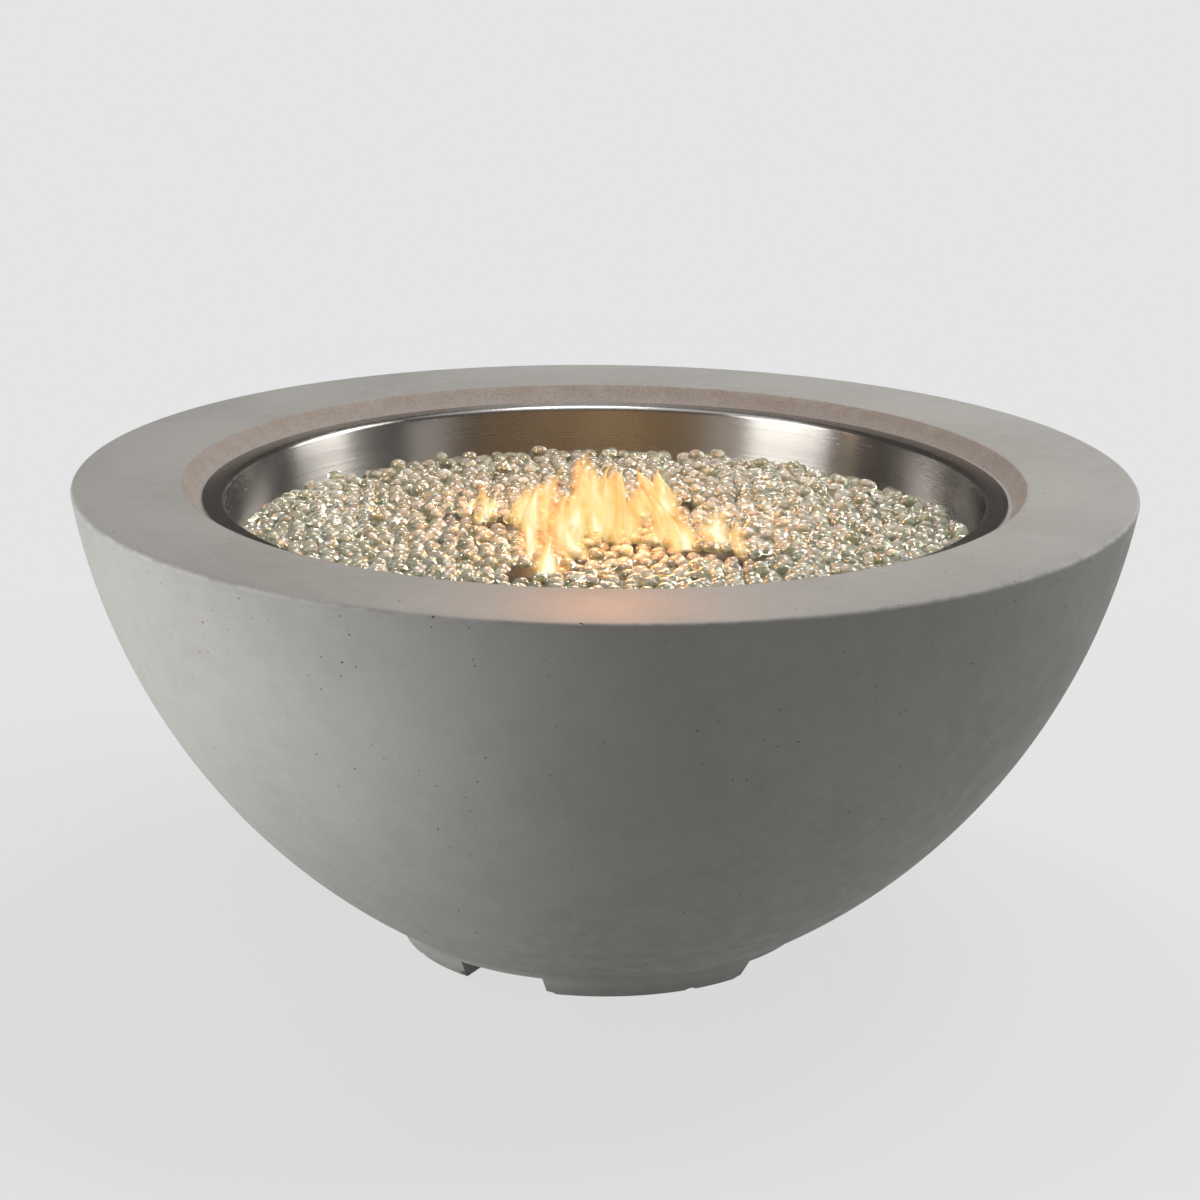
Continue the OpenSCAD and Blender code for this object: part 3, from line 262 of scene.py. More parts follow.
def bevelled(obj, width):
    edges = obj.modifiers.new("edges", "BEVEL")
    edges.width = width
    edges.segments = 2
    edges.limit_method = "ANGLE"
    edges.angle_limit = math.radians(35)


# Material helpers
class Surface:
    """The node tree of a material, or of a world, with short ways to add nodes to it."""

    def __init__(self, name, kind="Material"):
        library = bpy.data.worlds if kind == "World" else bpy.data.materials
        self.material = library.new(name)
        self.material.use_nodes = True
        self.tree = self.material.node_tree
        self.tree.nodes.clear()
        self.out = self.tree.nodes.new("ShaderNodeOutput" + kind)

    def node(self, kind, settings=None, **inputs):
        made = self.tree.nodes.new("ShaderNode" + kind)
        for name, value in (settings or {}).items():
            setattr(made, name, value)
        for name, value in inputs.items():
            self.put(made.inputs[name.replace("_", " ")], value)
        return made

    def put(self, socket, value):
        if isinstance(value, bpy.types.NodeSocket):
            self.tree.links.new(value, socket)
        else:
            socket.default_value = value

    def place(self):
        return self.node("TexCoord").outputs["Object"]

    def scaled(self, vector, x, y, z):
        return self.node("Mapping", Vector=vector, Scale=(x, y, z)).outputs[0]

    def noise(self, vector, scale, detail=3.0, roughness=0.5):
        made = self.node("TexNoise", Vector=vector, Scale=scale, Detail=detail, Roughness=roughness)
        return made.outputs[0]

    def math(self, operation, a, b=0.0):
        made = self.node("Math", {"operation": operation})
        self.put(made.inputs[0], a)
        self.put(made.inputs[1], b)
        return made.outputs[0]

    def times(self, a, b):
        return self.math("MULTIPLY", a, b)

    def plus(self, a, b):
        return self.math("ADD", a, b)

    def fit(self, value, low, high, to_low=0.0, to_high=1.0):
        """The value taken smoothly from one range to another, and held at its ends."""
        ends = {"From_Min": low, "From_Max": high, "To_Min": to_low, "To_Max": to_high}
        made = self.node("MapRange", {"interpolation_type": "SMOOTHSTEP"}, Value=value, **ends)
        return made.outputs[0]

    def mix(self, share, a, b):
        """From colour a to colour b by a share. Each is a socket or (red, green, blue)."""
        made = self.node("Mix", {"data_type": "RGBA"})
        self.put(made.inputs[0], share)
        for socket, colour in ((made.inputs[6], a), (made.inputs[7], b)):
            self.put(socket, colour if isinstance(colour, bpy.types.NodeSocket) else (*colour, 1))
        return made.outputs[2]

    def bump(self, height, distance, strength):
        return self.node("Bump", Height=height, Distance=distance, Strength=strength).outputs[0]

    def split(self, vector):
        return self.node("SeparateXYZ", Vector=vector).outputs

    def radius(self, parts):
        """The distance from the Z axis."""
        squares = [self.times(part, part) for part in (parts[0], parts[1])]
        return self.math("SQRT", self.plus(*squares))

    def band(self, value, low, high, soft):
        """1 between two values and 0 outside them."""
        rise = self.fit(value, low - soft, low + soft)
        fall = self.fit(value, high - soft, high + soft, 1.0, 0.0)
        return self.times(rise, fall)

    def finish(self, shader):
        self.tree.links.new(shader.outputs[0], self.out.inputs["Surface"])
        return self.material

    def solid(self, colour, roughness, **inputs):
        shader = self.node("BsdfPrincipled", Base_Color=colour, Roughness=roughness, **inputs)
        return self.finish(shader)


def concrete():
    s = Surface("cast_concrete")
    place = s.place()
    parts = s.split(place)
    r = s.radius(parts)
    cloud = s.noise(place, 4.5, 5.0, 0.6)
    grain = s.noise(place, 420.0, 3.0, 0.7)
    mottle = s.noise(place, 38.0, 4.0, 0.65)
    colour = s.mix(s.fit(cloud, 0.3, 0.7), (0.335, 0.327, 0.305), (0.392, 0.383, 0.360))
    colour = s.mix(s.fit(mottle, 0.35, 0.7, 0.0, 0.35), colour, (0.40, 0.392, 0.370))
    colour = s.mix(s.fit(grain, 0.52, 0.75, 0.0, 0.4), colour, (0.27, 0.262, 0.245))
    # Pinholes of three sizes, each left out of a share of its cells, coloured near-black as painted
    # shade inside them
    holes = None
    for scale, reach, share in ((75.0, 0.088, 0.30), (115.0, 0.10, 0.45), (34.0, 0.050, 0.70)):
        cells = s.node("TexVoronoi", Vector=place, Scale=scale)
        chance = s.split(cells.outputs["Color"])
        size = s.fit(chance[0], share, 1.0, 0.0, reach)
        hole = s.fit(s.math("SUBTRACT", size, cells.outputs["Distance"]), 0.0, 0.012)
        holes = s.math("MAXIMUM", holes, hole) if holes else hole
    holes = s.times(holes, s.fit(s.noise(place, 7.0, 2.0), 0.38, 0.58, 0.25, 1.0))
    # Painted shade: the pinholes are coloured near-black
    colour = s.mix(s.times(holes, 0.95), colour, (0.045, 0.042, 0.038))
    # Rough tan wall of the pan's seat
    z = parts[2]
    ragged = s.fit(s.noise(place, 110.0, 5.0, 0.7), 0.3, 0.7, -0.0022, 0.0022)
    seat = s.band(s.plus(r, ragged), SEAT_R - 0.003, SEAT_TOP_R + 0.0008, 0.0008)
    seat = s.times(seat, s.fit(z, 0.44, 0.45))
    pits = s.noise(place, 210.0, 6.0, 0.8)
    specks = s.noise(s.scaled(place, 1.0, 1.0, 2.2), 520.0, 3.0, 0.7)
    tan = s.mix(s.fit(z, SEAT_Z, SEAT_Z + 0.013), (0.380, 0.357, 0.335), (0.345, 0.303, 0.270))
    tan = s.mix(s.fit(mottle, 0.35, 0.70, 0.0, 0.8), tan, (0.400, 0.385, 0.362))
    tan = s.mix(s.fit(specks, 0.50, 0.66, 0.0, 0.85), tan, (0.19, 0.155, 0.13))
    # Painted shade: the pits of the seat wall are coloured dark
    tan = s.mix(s.fit(pits, 0.30, 0.40, 0.75, 0.0), tan, (0.12, 0.10, 0.085))
    colour = s.mix(s.times(seat, 0.9), colour, tan)
    # Worn lighter line on the rim's outer edge, and painted shade darkening the feet towards the floor
    edge = s.times(s.fit(r, 0.5290, 0.5318), s.fit(z, 0.4750, 0.4772))
    edge = s.times(edge, s.fit(s.noise(place, 60.0, 4.0, 0.7), 0.35, 0.6))
    colour = s.mix(s.times(edge, 0.7), colour, (0.50, 0.49, 0.465))
    # Painted shade: the feet are coloured darker towards the floor, where less light falls
    foot = s.fit(z, 0.004, 0.016, 0.35, 0.0)
    colour = s.mix(foot, colour, (0.20, 0.195, 0.18))
    rough = s.fit(s.noise(place, 55.0, 4.0), 0.3, 0.7, 0.62, 0.82)
    height = s.math("SUBTRACT", s.times(grain, 0.25), holes)
    height = s.plus(height, s.times(s.times(seat, pits), 2.0))
    normal = s.bump(height, 0.0009, 0.55)
    return s.solid(colour, rough, Normal=normal, Specular_IOR_Level=0.3)


def brushed_steel(name, light, dark, rough_low, rough_high, around_z):
    """Brushed stainless steel. around_z: the brush marks run round Z, otherwise along X."""
    s = Surface(name)
    place = s.place()
    if around_z:
        parts = s.split(place)
        level = s.times(s.plus(s.radius(parts), parts[2]), 420.0)
        ringed = s.node("CombineXYZ", Z=level)
        s.put(ringed.inputs[0], s.times(parts[0], 3.0))
        s.put(ringed.inputs[1], s.times(parts[1], 3.0))
        marks = s.noise(ringed.outputs[0], 1.0, 1.0)
    else:
        marks = s.noise(s.scaled(place, 14.0, 1500.0, 1500.0), 1.0, 4.0, 0.7)
    smear = s.noise(place, 9.0, 4.0, 0.6)
    colour = s.mix(s.fit(marks, 0.3, 0.7), dark, light)
    colour = s.mix(s.fit(smear, 0.45, 0.75, 0.0, 0.12), colour, dark)
    rough = s.fit(marks, 0.25, 0.75, rough_low, rough_high)
    rough = s.plus(rough, s.fit(smear, 0.4, 0.8, 0.0, 0.02))
    normal = s.bump(marks, 0.00004, 0.008)
    brush = {"Anisotropic": 0.7}
    if around_z:
        # The marks run round the pan, so highlights are drawn out across them
        tangent = s.node("Tangent", {"direction_type": "RADIAL", "axis": "Z"})
        brush = {"Anisotropic": 0.9, "Anisotropic_Rotation": 0.25, "Tangent": tangent.outputs[0]}
    return s.solid(colour, rough, Metallic=1.0, Normal=normal, **brush)


def glass():
    s = Surface("clear_glass_gems")
    place = s.place()
    tint = s.noise(place, 55.0, 1.0)
    streak = s.noise(place, 160.0, 3.0)
    colour = s.mix(s.fit(tint, 0.3, 0.7), (0.72, 0.75, 0.58), (0.97, 0.97, 0.90))
    # Painted shade: each gem is coloured darker towards its foot, like shade where it rests on the gems
    # below
    foot = s.node("Attribute", {"attribute_name": "foot"}).outputs["Fac"]
    colour = s.mix(s.fit(foot, 0.0, 1.0, 0.0, 0.75), colour, (0.26, 0.28, 0.16))
    rough = s.fit(streak, 0.3, 0.8, 0.0, 0.04)
    return s.solid(colour, rough, IOR=1.46, Transmission_Weight=0.71)


def glass_bed():
    s = Surface("glass_under_bed")
    place = s.place()
    cells = s.node("TexVoronoi", Vector=place, Scale=62.0)
    away = cells.outputs["Distance"]
    # Painted shade: each lump of the bed is coloured darker towards its edge, as in the gaps between
    # gems
    colour = s.mix(s.fit(away, 0.15, 0.75), (0.60, 0.62, 0.50), (0.15, 0.165, 0.11))
    colour = s.mix(s.fit(s.noise(place, 30.0), 0.4, 0.7, 0.0, 0.5), colour, (0.42, 0.43, 0.33))
    normal = s.bump(s.math("SUBTRACT", 1.0, away), 0.006, 0.8)
    return s.solid(colour, 0.18, Normal=normal)


def plain(name, light, dark, metallic, rough, scale, depth=0.0001, coat=0.0):
    """A surface whose colour, roughness (from least to most) and relief follow noise."""
    s = Surface(name)
    place = s.place()
    patches = s.noise(place, scale, 4.0, 0.6)
    fine = s.noise(place, 900.0, 2.0, 0.6)
    colour = s.mix(s.fit(patches, 0.32, 0.68), dark, light)
    colour = s.mix(s.fit(fine, 0.4, 0.75, 0.0, 0.3), colour, dark)
    roughness = s.fit(patches, 0.3, 0.7, rough[0], rough[1])
    normal = s.bump(fine, depth, 0.5)
    return s.solid(colour, roughness, Normal=normal, Metallic=metallic, Coat_Weight=coat)


def burnt_steel():
    s = Surface("burner_steel")
    place = s.place()
    patches = s.noise(place, 16.0, 4.0, 0.6)
    fine = s.noise(place, 500.0, 3.0, 0.6)
    colour = s.mix(s.fit(patches, 0.35, 0.55), (0.17, 0.135, 0.11), (0.36, 0.27, 0.18))
    colour = s.mix(s.fit(patches, 0.55, 0.7, 0.0, 0.8), colour, (0.13, 0.12, 0.16))
    colour = s.mix(s.fit(fine, 0.45, 0.8, 0.0, 0.5), colour, (0.05, 0.045, 0.04))
    rough = s.fit(patches, 0.3, 0.7, 0.32, 0.55)
    normal = s.bump(fine, 0.0002, 0.5)
    return s.solid(colour, rough, Metallic=1.0, Normal=normal)


def fire():
    """Glow and clear gaps across and up each sheet of flame, from its own (u, v)."""
    s = Surface("low_flame")
    parts = s.split(s.node("TexCoord").outputs["UV"])
    place = s.place()
    across = s.math("ABSOLUTE", s.math("SUBTRACT", s.times(parts[0], 2.0), 1.0))
    up = parts[1]
    fold = s.noise(s.scaled(place, 34.0, 34.0, 11.0), 1.0, 1.0)
    streak = s.noise(s.scaled(place, 60.0, 60.0, 9.0), 1.0, 1.0)
    bend = s.fit(fold, 0.3, 0.7, -0.20, 0.20)
    body = s.fit(s.plus(across, bend), 0.30, 0.98, 1.0, 0.0)
    foot = s.fit(up, 0.0, 0.12)
    tip = s.fit(s.plus(up, bend), 0.62, 1.02, 1.0, 0.0)
    cover = s.times(s.times(body, foot), tip)
    cover = s.times(cover, s.fit(streak, 0.32, 0.66, 0.38, 0.95))
    cool = s.plus(s.times(across, 0.75), s.times(up, 0.40))
    cool = s.plus(cool, s.fit(streak, 0.3, 0.7, 0.22, -0.30))
    colour = s.mix(s.fit(cool, -0.12, 0.40), (1.0, 0.92, 0.66), (1.0, 0.64, 0.24))
    colour = s.mix(s.fit(cool, 0.32, 0.88), colour, (0.92, 0.35, 0.08))
    glow = s.node("Emission", Color=colour, Strength=1.25)
    clear = s.node("BsdfTransparent")
    shader = s.node("MixShader")
    s.put(shader.inputs[0], cover)
    s.put(shader.inputs[1], clear.outputs[0])
    s.put(shader.inputs[2], glow.outputs[0])
    return s.finish(shader)


finishes = {"concrete": concrete(), "clear_glass": glass(), "burner_steel": burnt_steel()}
for slot, *look in (
    ("pan_steel", (0.49, 0.475, 0.46), (0.455, 0.44, 0.425), 0.245, 0.27, True),
    ("panel_steel", (0.60, 0.59, 0.58), (0.46, 0.45, 0.44), 0.24, 0.38, False),
):
    finishes[slot] = brushed_steel(slot, *look)
for slot, *look in (
    ("brass_fittings", (0.66, 0.47, 0.19), (0.42, 0.28, 0.10), 1.0, (0.24, 0.42), 45.0),
    ("mixer_iron", (0.085, 0.083, 0.08), (0.045, 0.043, 0.042), 0.6, (0.55, 0.75), 60.0, 0.0004),
    ("plain_steel", (0.58, 0.58, 0.57), (0.40, 0.40, 0.40), 1.0, (0.25, 0.42), 50.0),
    ("white_ceramic", (0.83, 0.81, 0.76), (0.70, 0.67, 0.60), 0.0, (0.12, 0.25), 80.0, 0.0001, 0.4),
    ("copper", (0.62, 0.31, 0.17), (0.36, 0.16, 0.085), 1.0, (0.22, 0.42), 35.0),
    ("lead_silicone", (0.42, 0.07, 0.04), (0.30, 0.045, 0.03), 0.0, (0.5, 0.65), 90.0),
    ("dial_black", (0.026, 0.026, 0.027), (0.015, 0.015, 0.016), 0.0, (0.34, 0.48), 70.0),
    ("knob_black", (0.030, 0.030, 0.032), (0.017, 0.017, 0.018), 0.0, (0.36, 0.50), 90.0, 0.00025),
    ("button_red", (0.50, 0.028, 0.02), (0.36, 0.018, 0.014), 0.0, (0.16, 0.28), 60.0),
    ("battery_case", (0.055, 0.075, 0.19), (0.03, 0.04, 0.11), 0.0, (0.18, 0.30), 70.0),
):
    finishes[slot] = plain(slot, *look)
mark_paint = plain("mark_paint", (0.80, 0.79, 0.76), (0.66, 0.65, 0.62), 0.0, (0.35, 0.5), 120.0)
for row in frame["record"]["subparts"]:
    node = nodes[row["node"]]
    if node.material_slots:
        node.material_slots[0].material = finishes[row["material_slot"]]
    else:
        node.data.materials.append(finishes[row["material_slot"]])


def dress(obj, body, slot, *replaced):
    """Ties a piece to its body and hides the CAD nodes that it stands for; the slot is not used."""
    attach(obj, body)
    if replaced:
        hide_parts(*replaced)


# Concrete bowl
def bowl_path():
    edge_z = RIM_Z - RIM_EDGE
    edge_centre = (side_r(edge_z, RIM_EDGE), edge_z)
    low = math.asin((FOOT_TOP_Z - SIDE_CENTRE[1]) / SIDE_ARC)
    high = math.atan2(edge_centre[1] - SIDE_CENTRE[1], edge_centre[0] - SIDE_CENTRE[0])
    outside = arc(SIDE_CENTRE, SIDE_ARC, low, high, 66)
    outside += arc(edge_centre, RIM_EDGE, high, math.pi / 2, 6)[1:]
    inner_arc = SIDE_ARC - WALL
    inner_low = math.asin((FLOOR_Z - SIDE_CENTRE[1]) / inner_arc)
    inner_high = math.asin((UNDER_RIM_Z - SIDE_CENTRE[1]) / inner_arc)
    inside = arc(SIDE_CENTRE, inner_arc, inner_high, inner_low, 30)
    corners = [(FOOT_R, 0.0, 0.002)]
    corners += [(r, z, 0) for r, z in outside]
    corners += [(SEAT_TOP_R, RIM_Z, 0.0016), (SEAT_R, SEAT_Z, 0.001), (THROAT_R, SEAT_Z, 0.0012)]
    corners += [(THROAT_R, UNDER_RIM_Z, 0.0012)]
    corners += [(r, z, 0) for r, z in inside]
    corners += [(FLOOR_HOLE_R, FLOOR_Z, 0.0015), (FLOOR_HOLE_R, FOOT_H, 0.0015)]
    corners += [(FOOT_INNER_R, FOOT_H, 0.0015), (FOOT_INNER_R, 0.0, 0.002)]
    return divided(rounded(corners), 0.0095)


def seat_wall(r, z, turn):
    """The seat's wall is rough, as it was left by the mould."""
    if not (SEAT_Z + 0.0008 < z < RIM_Z - 0.0008 and SEAT_R - 0.001 < r < SEAT_TOP_R + 0.001):
        return r
    here = Vector((r * math.cos(turn), r * math.sin(turn), z))
    return r + 0.0009 * noise.noise(here * 70) + 0.0006 * noise.noise(here * 190)


def pebble(place, size, seed):
    """A ragged lump that breaks an edge."""
    built = bmesh.new()
    bmesh.ops.create_icosphere(built, subdivisions=3, radius=1.0)
    for v in built.verts:
        lump = 1 + 0.30 * noise.noise(v.co * 1.6 + Vector((seed, 0, 0)))
        lump += 0.12 * noise.noise(v.co * 4.2)
        v.co = Vector(place) + Vector([c * s * lump for c, s in zip(v.co, size)])
    return baked("chip", built)


def joined(name, meshes):
    built = bmesh.new()
    for mesh in meshes:
        built.from_mesh(mesh)
    return baked(name, built)


def panel_box(name, size, wider, start_y, end_y):
    """A box at the panel, wider than a size on every side."""
    x, z = size[0] / 2 + wider, size[1] / 2 + wider
    return box_mesh(name, (-x, start_y, PANEL_Z - z), (x, end_y, PANEL_Z + z))


bowl = add_object("concrete_shell", lathe("concrete_shell", bowl_path(), 288, seat_wall))
# The thicker wall round the panel, which leans out with the bowl
surround = panel_box("surround", RECESS, SURROUND_W, SURROUND_IN_Y, SURROUND_LOW_Y)
for v in surround.vertices:
    if v.co.y > (SURROUND_IN_Y + SURROUND_LOW_Y) / 2 and v.co.z > PANEL_Z:
        v.co.y = SURROUND_TOP_Y
shape(bowl, "UNION", surround)
channels = box_mesh("channels", (-0.5, -CHANNEL_X_W / 2, -0.01), (0.5, CHANNEL_X_W / 2, FOOT_H))
channels_y = box_mesh("channels", (-CHANNEL_Y_W / 2, -0.5, -0.01), (CHANNEL_Y_W / 2, 0.5, FOOT_H))
recess = panel_box("recess", RECESS, 0, RECESS_FLOOR_Y, 0.6)
window = panel_box("window", WINDOW, 0, 0.42, 0.5)
shape(bowl, "DIFFERENCE", channels, channels_y, recess, window)
# Chips broken out of the feet and out of the rim's outer edge
CHIP_SEED = 3.1
RIM_CHIPS = 15
chips = []
for side_x in (-1, 1):
    for side_y in (-1, 1):
        # The foot's two outer bottom corners, beside the channels
        for x, y in ((CHANNEL_Y_W / 2, None), (None, CHANNEL_X_W / 2)):
            at_x = x if x else math.sqrt(FOOT_R**2 - y**2)
            at_y = y if y else math.sqrt(FOOT_R**2 - x**2)
            size = [dice.uniform(0.004, 0.009), dice.uniform(0.004, 0.009), dice.uniform(0.003, 0.007)]
            chips.append(pebble((side_x * at_x, side_y * at_y, 0.0), size, len(chips) * CHIP_SEED))
        turn = math.atan2(side_y, side_x) + dice.uniform(-0.25, 0.25)
        at = (FOOT_R * math.cos(turn), FOOT_R * math.sin(turn), 0.0)
        chips.append(pebble(at, (0.006, 0.006, 0.003), len(chips) * CHIP_SEED))
for k in range(RIM_CHIPS):
    turn = 2 * math.pi * (k + dice.uniform(0.1, 0.9)) / RIM_CHIPS
    size = dice.uniform(0.0008, 0.0017)
    edge_r = side_r(RIM_Z - 0.001) - 0.0008
    at = (edge_r * math.cos(turn), edge_r * math.sin(turn), RIM_Z - 0.0006)
    chips.append(pebble(at, (size * 1.6, size * 1.6, size), len(chips) * CHIP_SEED))
shape(bowl, "DIFFERENCE", joined("chips", chips))
bowl.data.materials.clear()
bowl.data.materials.append(finishes["concrete"])
smooth(bowl.data, 32)
dress(bowl, "bowl", "concrete", "concrete_bowl")


# Burner pan
def pan_wall_r(z):
    """The inner radius of the pan's leaning wall at a height."""
    top_r = PAN_R + LIP_R - LIP_R * math.cos(PAN_DRAFT)
    top_z = FLANGE_Z - LIP_R + LIP_R * math.sin(PAN_DRAFT)
    return top_r - (top_z - z) * math.tan(PAN_DRAFT)


def pan_path():
    corner_z = PAN_FLOOR_Z + PAN_CORNER_R
    corner = (pan_wall_r(corner_z) - PAN_CORNER_R / math.cos(PAN_DRAFT), corner_z)
    lip = (PAN_R + LIP_R, FLANGE_Z - LIP_R)
    upper = [(FLANGE_R, FLANGE_Z - 0.0003), (FLANGE_R - 0.0003, FLANGE_Z)]
    upper += arc(lip, LIP_R, math.pi / 2, math.pi - PAN_DRAFT, 16)
    upper += arc(corner, PAN_CORNER_R, -PAN_DRAFT, -math.pi / 2, 10)
    upper += [(NIPPLE_HOLE_R, PAN_FLOOR_Z)]
    lower = [(NIPPLE_HOLE_R, PAN_FLOOR_Z - PAN_T)]
    lower += arc(corner, PAN_CORNER_R + PAN_T, -math.pi / 2, -PAN_DRAFT, 10)
    lower += arc(lip, LIP_R - PAN_T, math.pi - PAN_DRAFT, math.pi / 2, 12)
    lower += [(FLANGE_R - 0.0003, FLANGE_Z - PAN_T), (FLANGE_R, FLANGE_Z - PAN_T + 0.0003)]
    return divided(upper + lower, 0.016)


pan = add_object("pan_shell", lathe("pan_shell", pan_path(), 288))
# Holes for rain and for the two probes, as (x, y, radius)
holes = []
for k in range(DRAIN_N):
    turn = 2 * math.pi * (k + 0.5) / DRAIN_N
    holes.append((DRAIN_OUT * math.cos(turn), DRAIN_OUT * math.sin(turn), DRAIN_R))
holes += [(PROBE[0], PROBE[1], 0.0042), (-PROBE[0], PROBE[1], 0.0032)]
drill = []
low, high = PAN_FLOOR_Z - 0.01, PAN_FLOOR_Z + 0.01
for x, y, r in holes:
    bit = lathe("bit", [(0, low), (r, low), (r, high), (0, high)], 24)
    bit.transform(Matrix.Translation((x, y, 0)))
    drill.append(bit)
shape(pan, "DIFFERENCE", joined("drill", drill))
pan.data.materials.clear()
pan.data.materials.append(finishes["pan_steel"])
smooth(pan.data, 35)
dress(pan, "bowl", "pan_steel", "burner_pan")


# Glass gems
GEM_SIZE = (0.0082, 0.0105)
ARM_GEM_SIZE = (0.0076, 0.0088)
LOOSE_GEM_SIZE = (0.0078, 0.0098)
GEM_LEAN = 0.6
GEM_DROP = 0.002
GEM_REACH = 0.366
PROBE_R = 0.004
TOP_APART = 0.0182
WALL_GEM_PITCH = 0.017
WALL_STEP = 0.002
WALL_ROOM = 0.0125
ARM_GEM_N = 11
ARM_GEM_PITCH = 0.0163
ARM_GEM_BESIDE = 0.0095
ARM_GEM_SHARE = 0.84
LOW_GEM_N = 1500
LOW_APART = 0.0175
GOLDEN_TURN = 2.399963
LOOSE_GEM_N = 150
LOOSE_ROOM = 0.0095
LOOSE_APART = 0.024


def on_burner(x, y, room):
    """Is a point over an arm of the burner or against a probe?"""
    along = max(abs(x), abs(y))
    beside = min(abs(x), abs(y))
    if along < ARM_L + room and beside < ARM_W / 2 + room:
        return True
    return math.hypot(abs(x) - PROBE[0], y - PROBE[1]) < PROBE_R + room


def spread(points, reach, apart, rounds):
    """Pushes points in the pan off each other."""
    for _ in range(rounds):
        tree = kdtree.KDTree(len(points))
        for k, p in enumerate(points):
            tree.insert(p, k)
        tree.balance()
        moved = []
        for k, p in enumerate(points):
            push = Vector((0, 0, 0))
            for other, index, gap in tree.find_range(p, apart):
                if index != k and gap > 1e-6:
                    push += (p - other) * ((apart - gap) / gap * 0.35)
            there = p + push
            if there.length > reach:
                there *= reach / there.length
            moved.append(there)
        points = moved
    return points


def shaken(point, distance):
    x = point.x + dice.uniform(-distance, distance)
    y = point.y + dice.uniform(-distance, distance)
    return Vector((x, y, 0))


def nearest(x, y, spots):
    """The distance from a point to the closest spot."""
    return min(math.hypot(x - spot.x, y - spot.y) for spot in spots)


def chance(i, j, n):
    """The CAD model's number from -1 to 1 for a gem's place and a choice n."""
    wave = 1000 * math.sin(math.radians(77.7 * i + 41.3 * j + 123.4 * n))
    return 2 * (wave - math.floor(wave)) - 1


def lattice_tips():
    """The tips of the CAD model's gems."""
    reach = pan_wall_r(SHEET_UNDER_Z) - GLASS_GAP - GEM_PITCH / math.sqrt(3)
    span = math.ceil(reach / GEM_ROW) + 1
    tips = []
    for i in range(-span, span + 1):
        for j in range(-span, span + 1):
            x, y = GEM_PITCH * (i + j / 2), GEM_ROW * j
            if math.hypot(x, y) < reach and not on_burner(x, y, 0):
                x += GEM_SCATTER * chance(i, j, 1)
                y += GEM_SCATTER * chance(i, j, 2)
                tips.append(Vector((x, y, GEM_TIP_Z + GEM_UNEVEN * chance(i, j, 3))))
    return tips


def gem_mesh(name, places, rings, segments):
    """One mesh of flattened round gems from (place, half sizes, turn, seed), marked for painted shade
    towards their feet.
    """
    points = []
    faces = []
    heights = []
    for place, half, turn, seed in places:
        start = len(points)
        points.append(place + turn @ Vector((0, 0, half[2])))
        for i in range(1, rings):
            lean = math.pi * i / rings
            for k in range(segments):
                a = 2 * math.pi * k / segments
                p = Vector((math.sin(lean) * math.cos(a), math.sin(lean) * math.sin(a), math.cos(lean)))
                swell = 1 + 0.10 * noise.noise(p * 1.1 + Vector((seed, seed * 0.7, 0)))
                p = Vector((p.x * half[0], p.y * half[1], p.z * half[2])) * swell
                points.append(place + turn @ p)
        points.append(place + turn @ Vector((0, 0, -half[2])))
        last = len(points) - 1
        heights += [(p.z - place.z) / half[2] for p in points[start:]]
        for k in range(segments):
            n = (k + 1) % segments
            faces.append((start, start + 1 + k, start + 1 + n))
            for i in range(rings - 2):
                row = start + 1 + i * segments
                faces.append((row + k, row + segments + k, row + segments + n, row + n))
            row = start + 1 + (rings - 2) * segments
            faces.append((last, row + n, row + k))
    mesh = raw_mesh(name, points, faces)
    # Painted shade: each gem's lower part is marked to be coloured darker
    foot = mesh.attributes.new("foot", "FLOAT", "POINT")
    foot.data.foreach_set("value", [min(1, max(0, 0.55 - 0.9 * height)) for height in heights])
    return mesh


def gem(x, y, top, size, tilt):
    """A gem of a random size and lean, whose highest point is at top."""
    long = dice.uniform(*size)
    half = Vector((long, long * dice.uniform(0.82, 1.0), long * dice.uniform(0.60, 0.76)))
    facing = dice.uniform(0, 2 * math.pi)
    turn = Quaternion((math.cos(facing), math.sin(facing), 0), tilt * dice.random() ** 1.5)
    turn = turn @ Quaternion((0, 0, 1), dice.uniform(0, 2 * math.pi))
    row = turn.to_matrix()[2]
    high = Vector([row[k] * half[k] for k in range(3)]).length
    z = top - high
    out = math.hypot(x, y)
    room = pan_wall_r(z) - 0.001 - long
    if out > room:
        x, y = x * room / out, y * room / out
    return Vector((x, y, z)), half, turn, dice.uniform(0, 50)


tips = lattice_tips()
spots = spread([shaken(tip, 0.007) for tip in tips], GEM_REACH, TOP_APART, 6)
top_gems = []
for spot, tip in zip(spots, tips):
    top_gems.append(gem(spot.x, spot.y, tip.z - GEM_DROP, GEM_SIZE, GEM_LEAN))
# Gems along the wall, where the lattice leaves a gap
wall_r = pan_wall_r(GLASS_Z) - 0.0095
wall_turn = 0.0
while wall_turn < 2 * math.pi - 0.02:
    x, y = wall_r * math.cos(wall_turn), wall_r * math.sin(wall_turn)
    if nearest(x, y, spots) > WALL_ROOM:
        top = GEM_TIP_Z - GEM_DROP + dice.uniform(-0.002, 0.002)
        top_gems.append(gem(x, y, top, GEM_SIZE, GEM_LEAN))
        wall_turn += WALL_GEM_PITCH / wall_r
    wall_turn += WALL_STEP / wall_r
# Two rows of gems on each arm of the burner, with some left out
arm_gems = []
for arm in range(4):
    turned = Matrix.Rotation(arm * math.pi / 2, 3, "Z")
    for k in range(ARM_GEM_N):
        for beside in (-ARM_GEM_BESIDE, ARM_GEM_BESIDE):
            along = 0.010 + ARM_GEM_PITCH * k + dice.uniform(-0.003, 0.003)
            spot = turned @ Vector((along, beside + dice.uniform(-0.004, 0.004), 0))
            placed = gem(spot.x, spot.y, ARM_TOP_Z + 0.0112, ARM_GEM_SIZE, 0.15)
            if dice.random() < ARM_GEM_SHARE:
                arm_gems.append(placed)
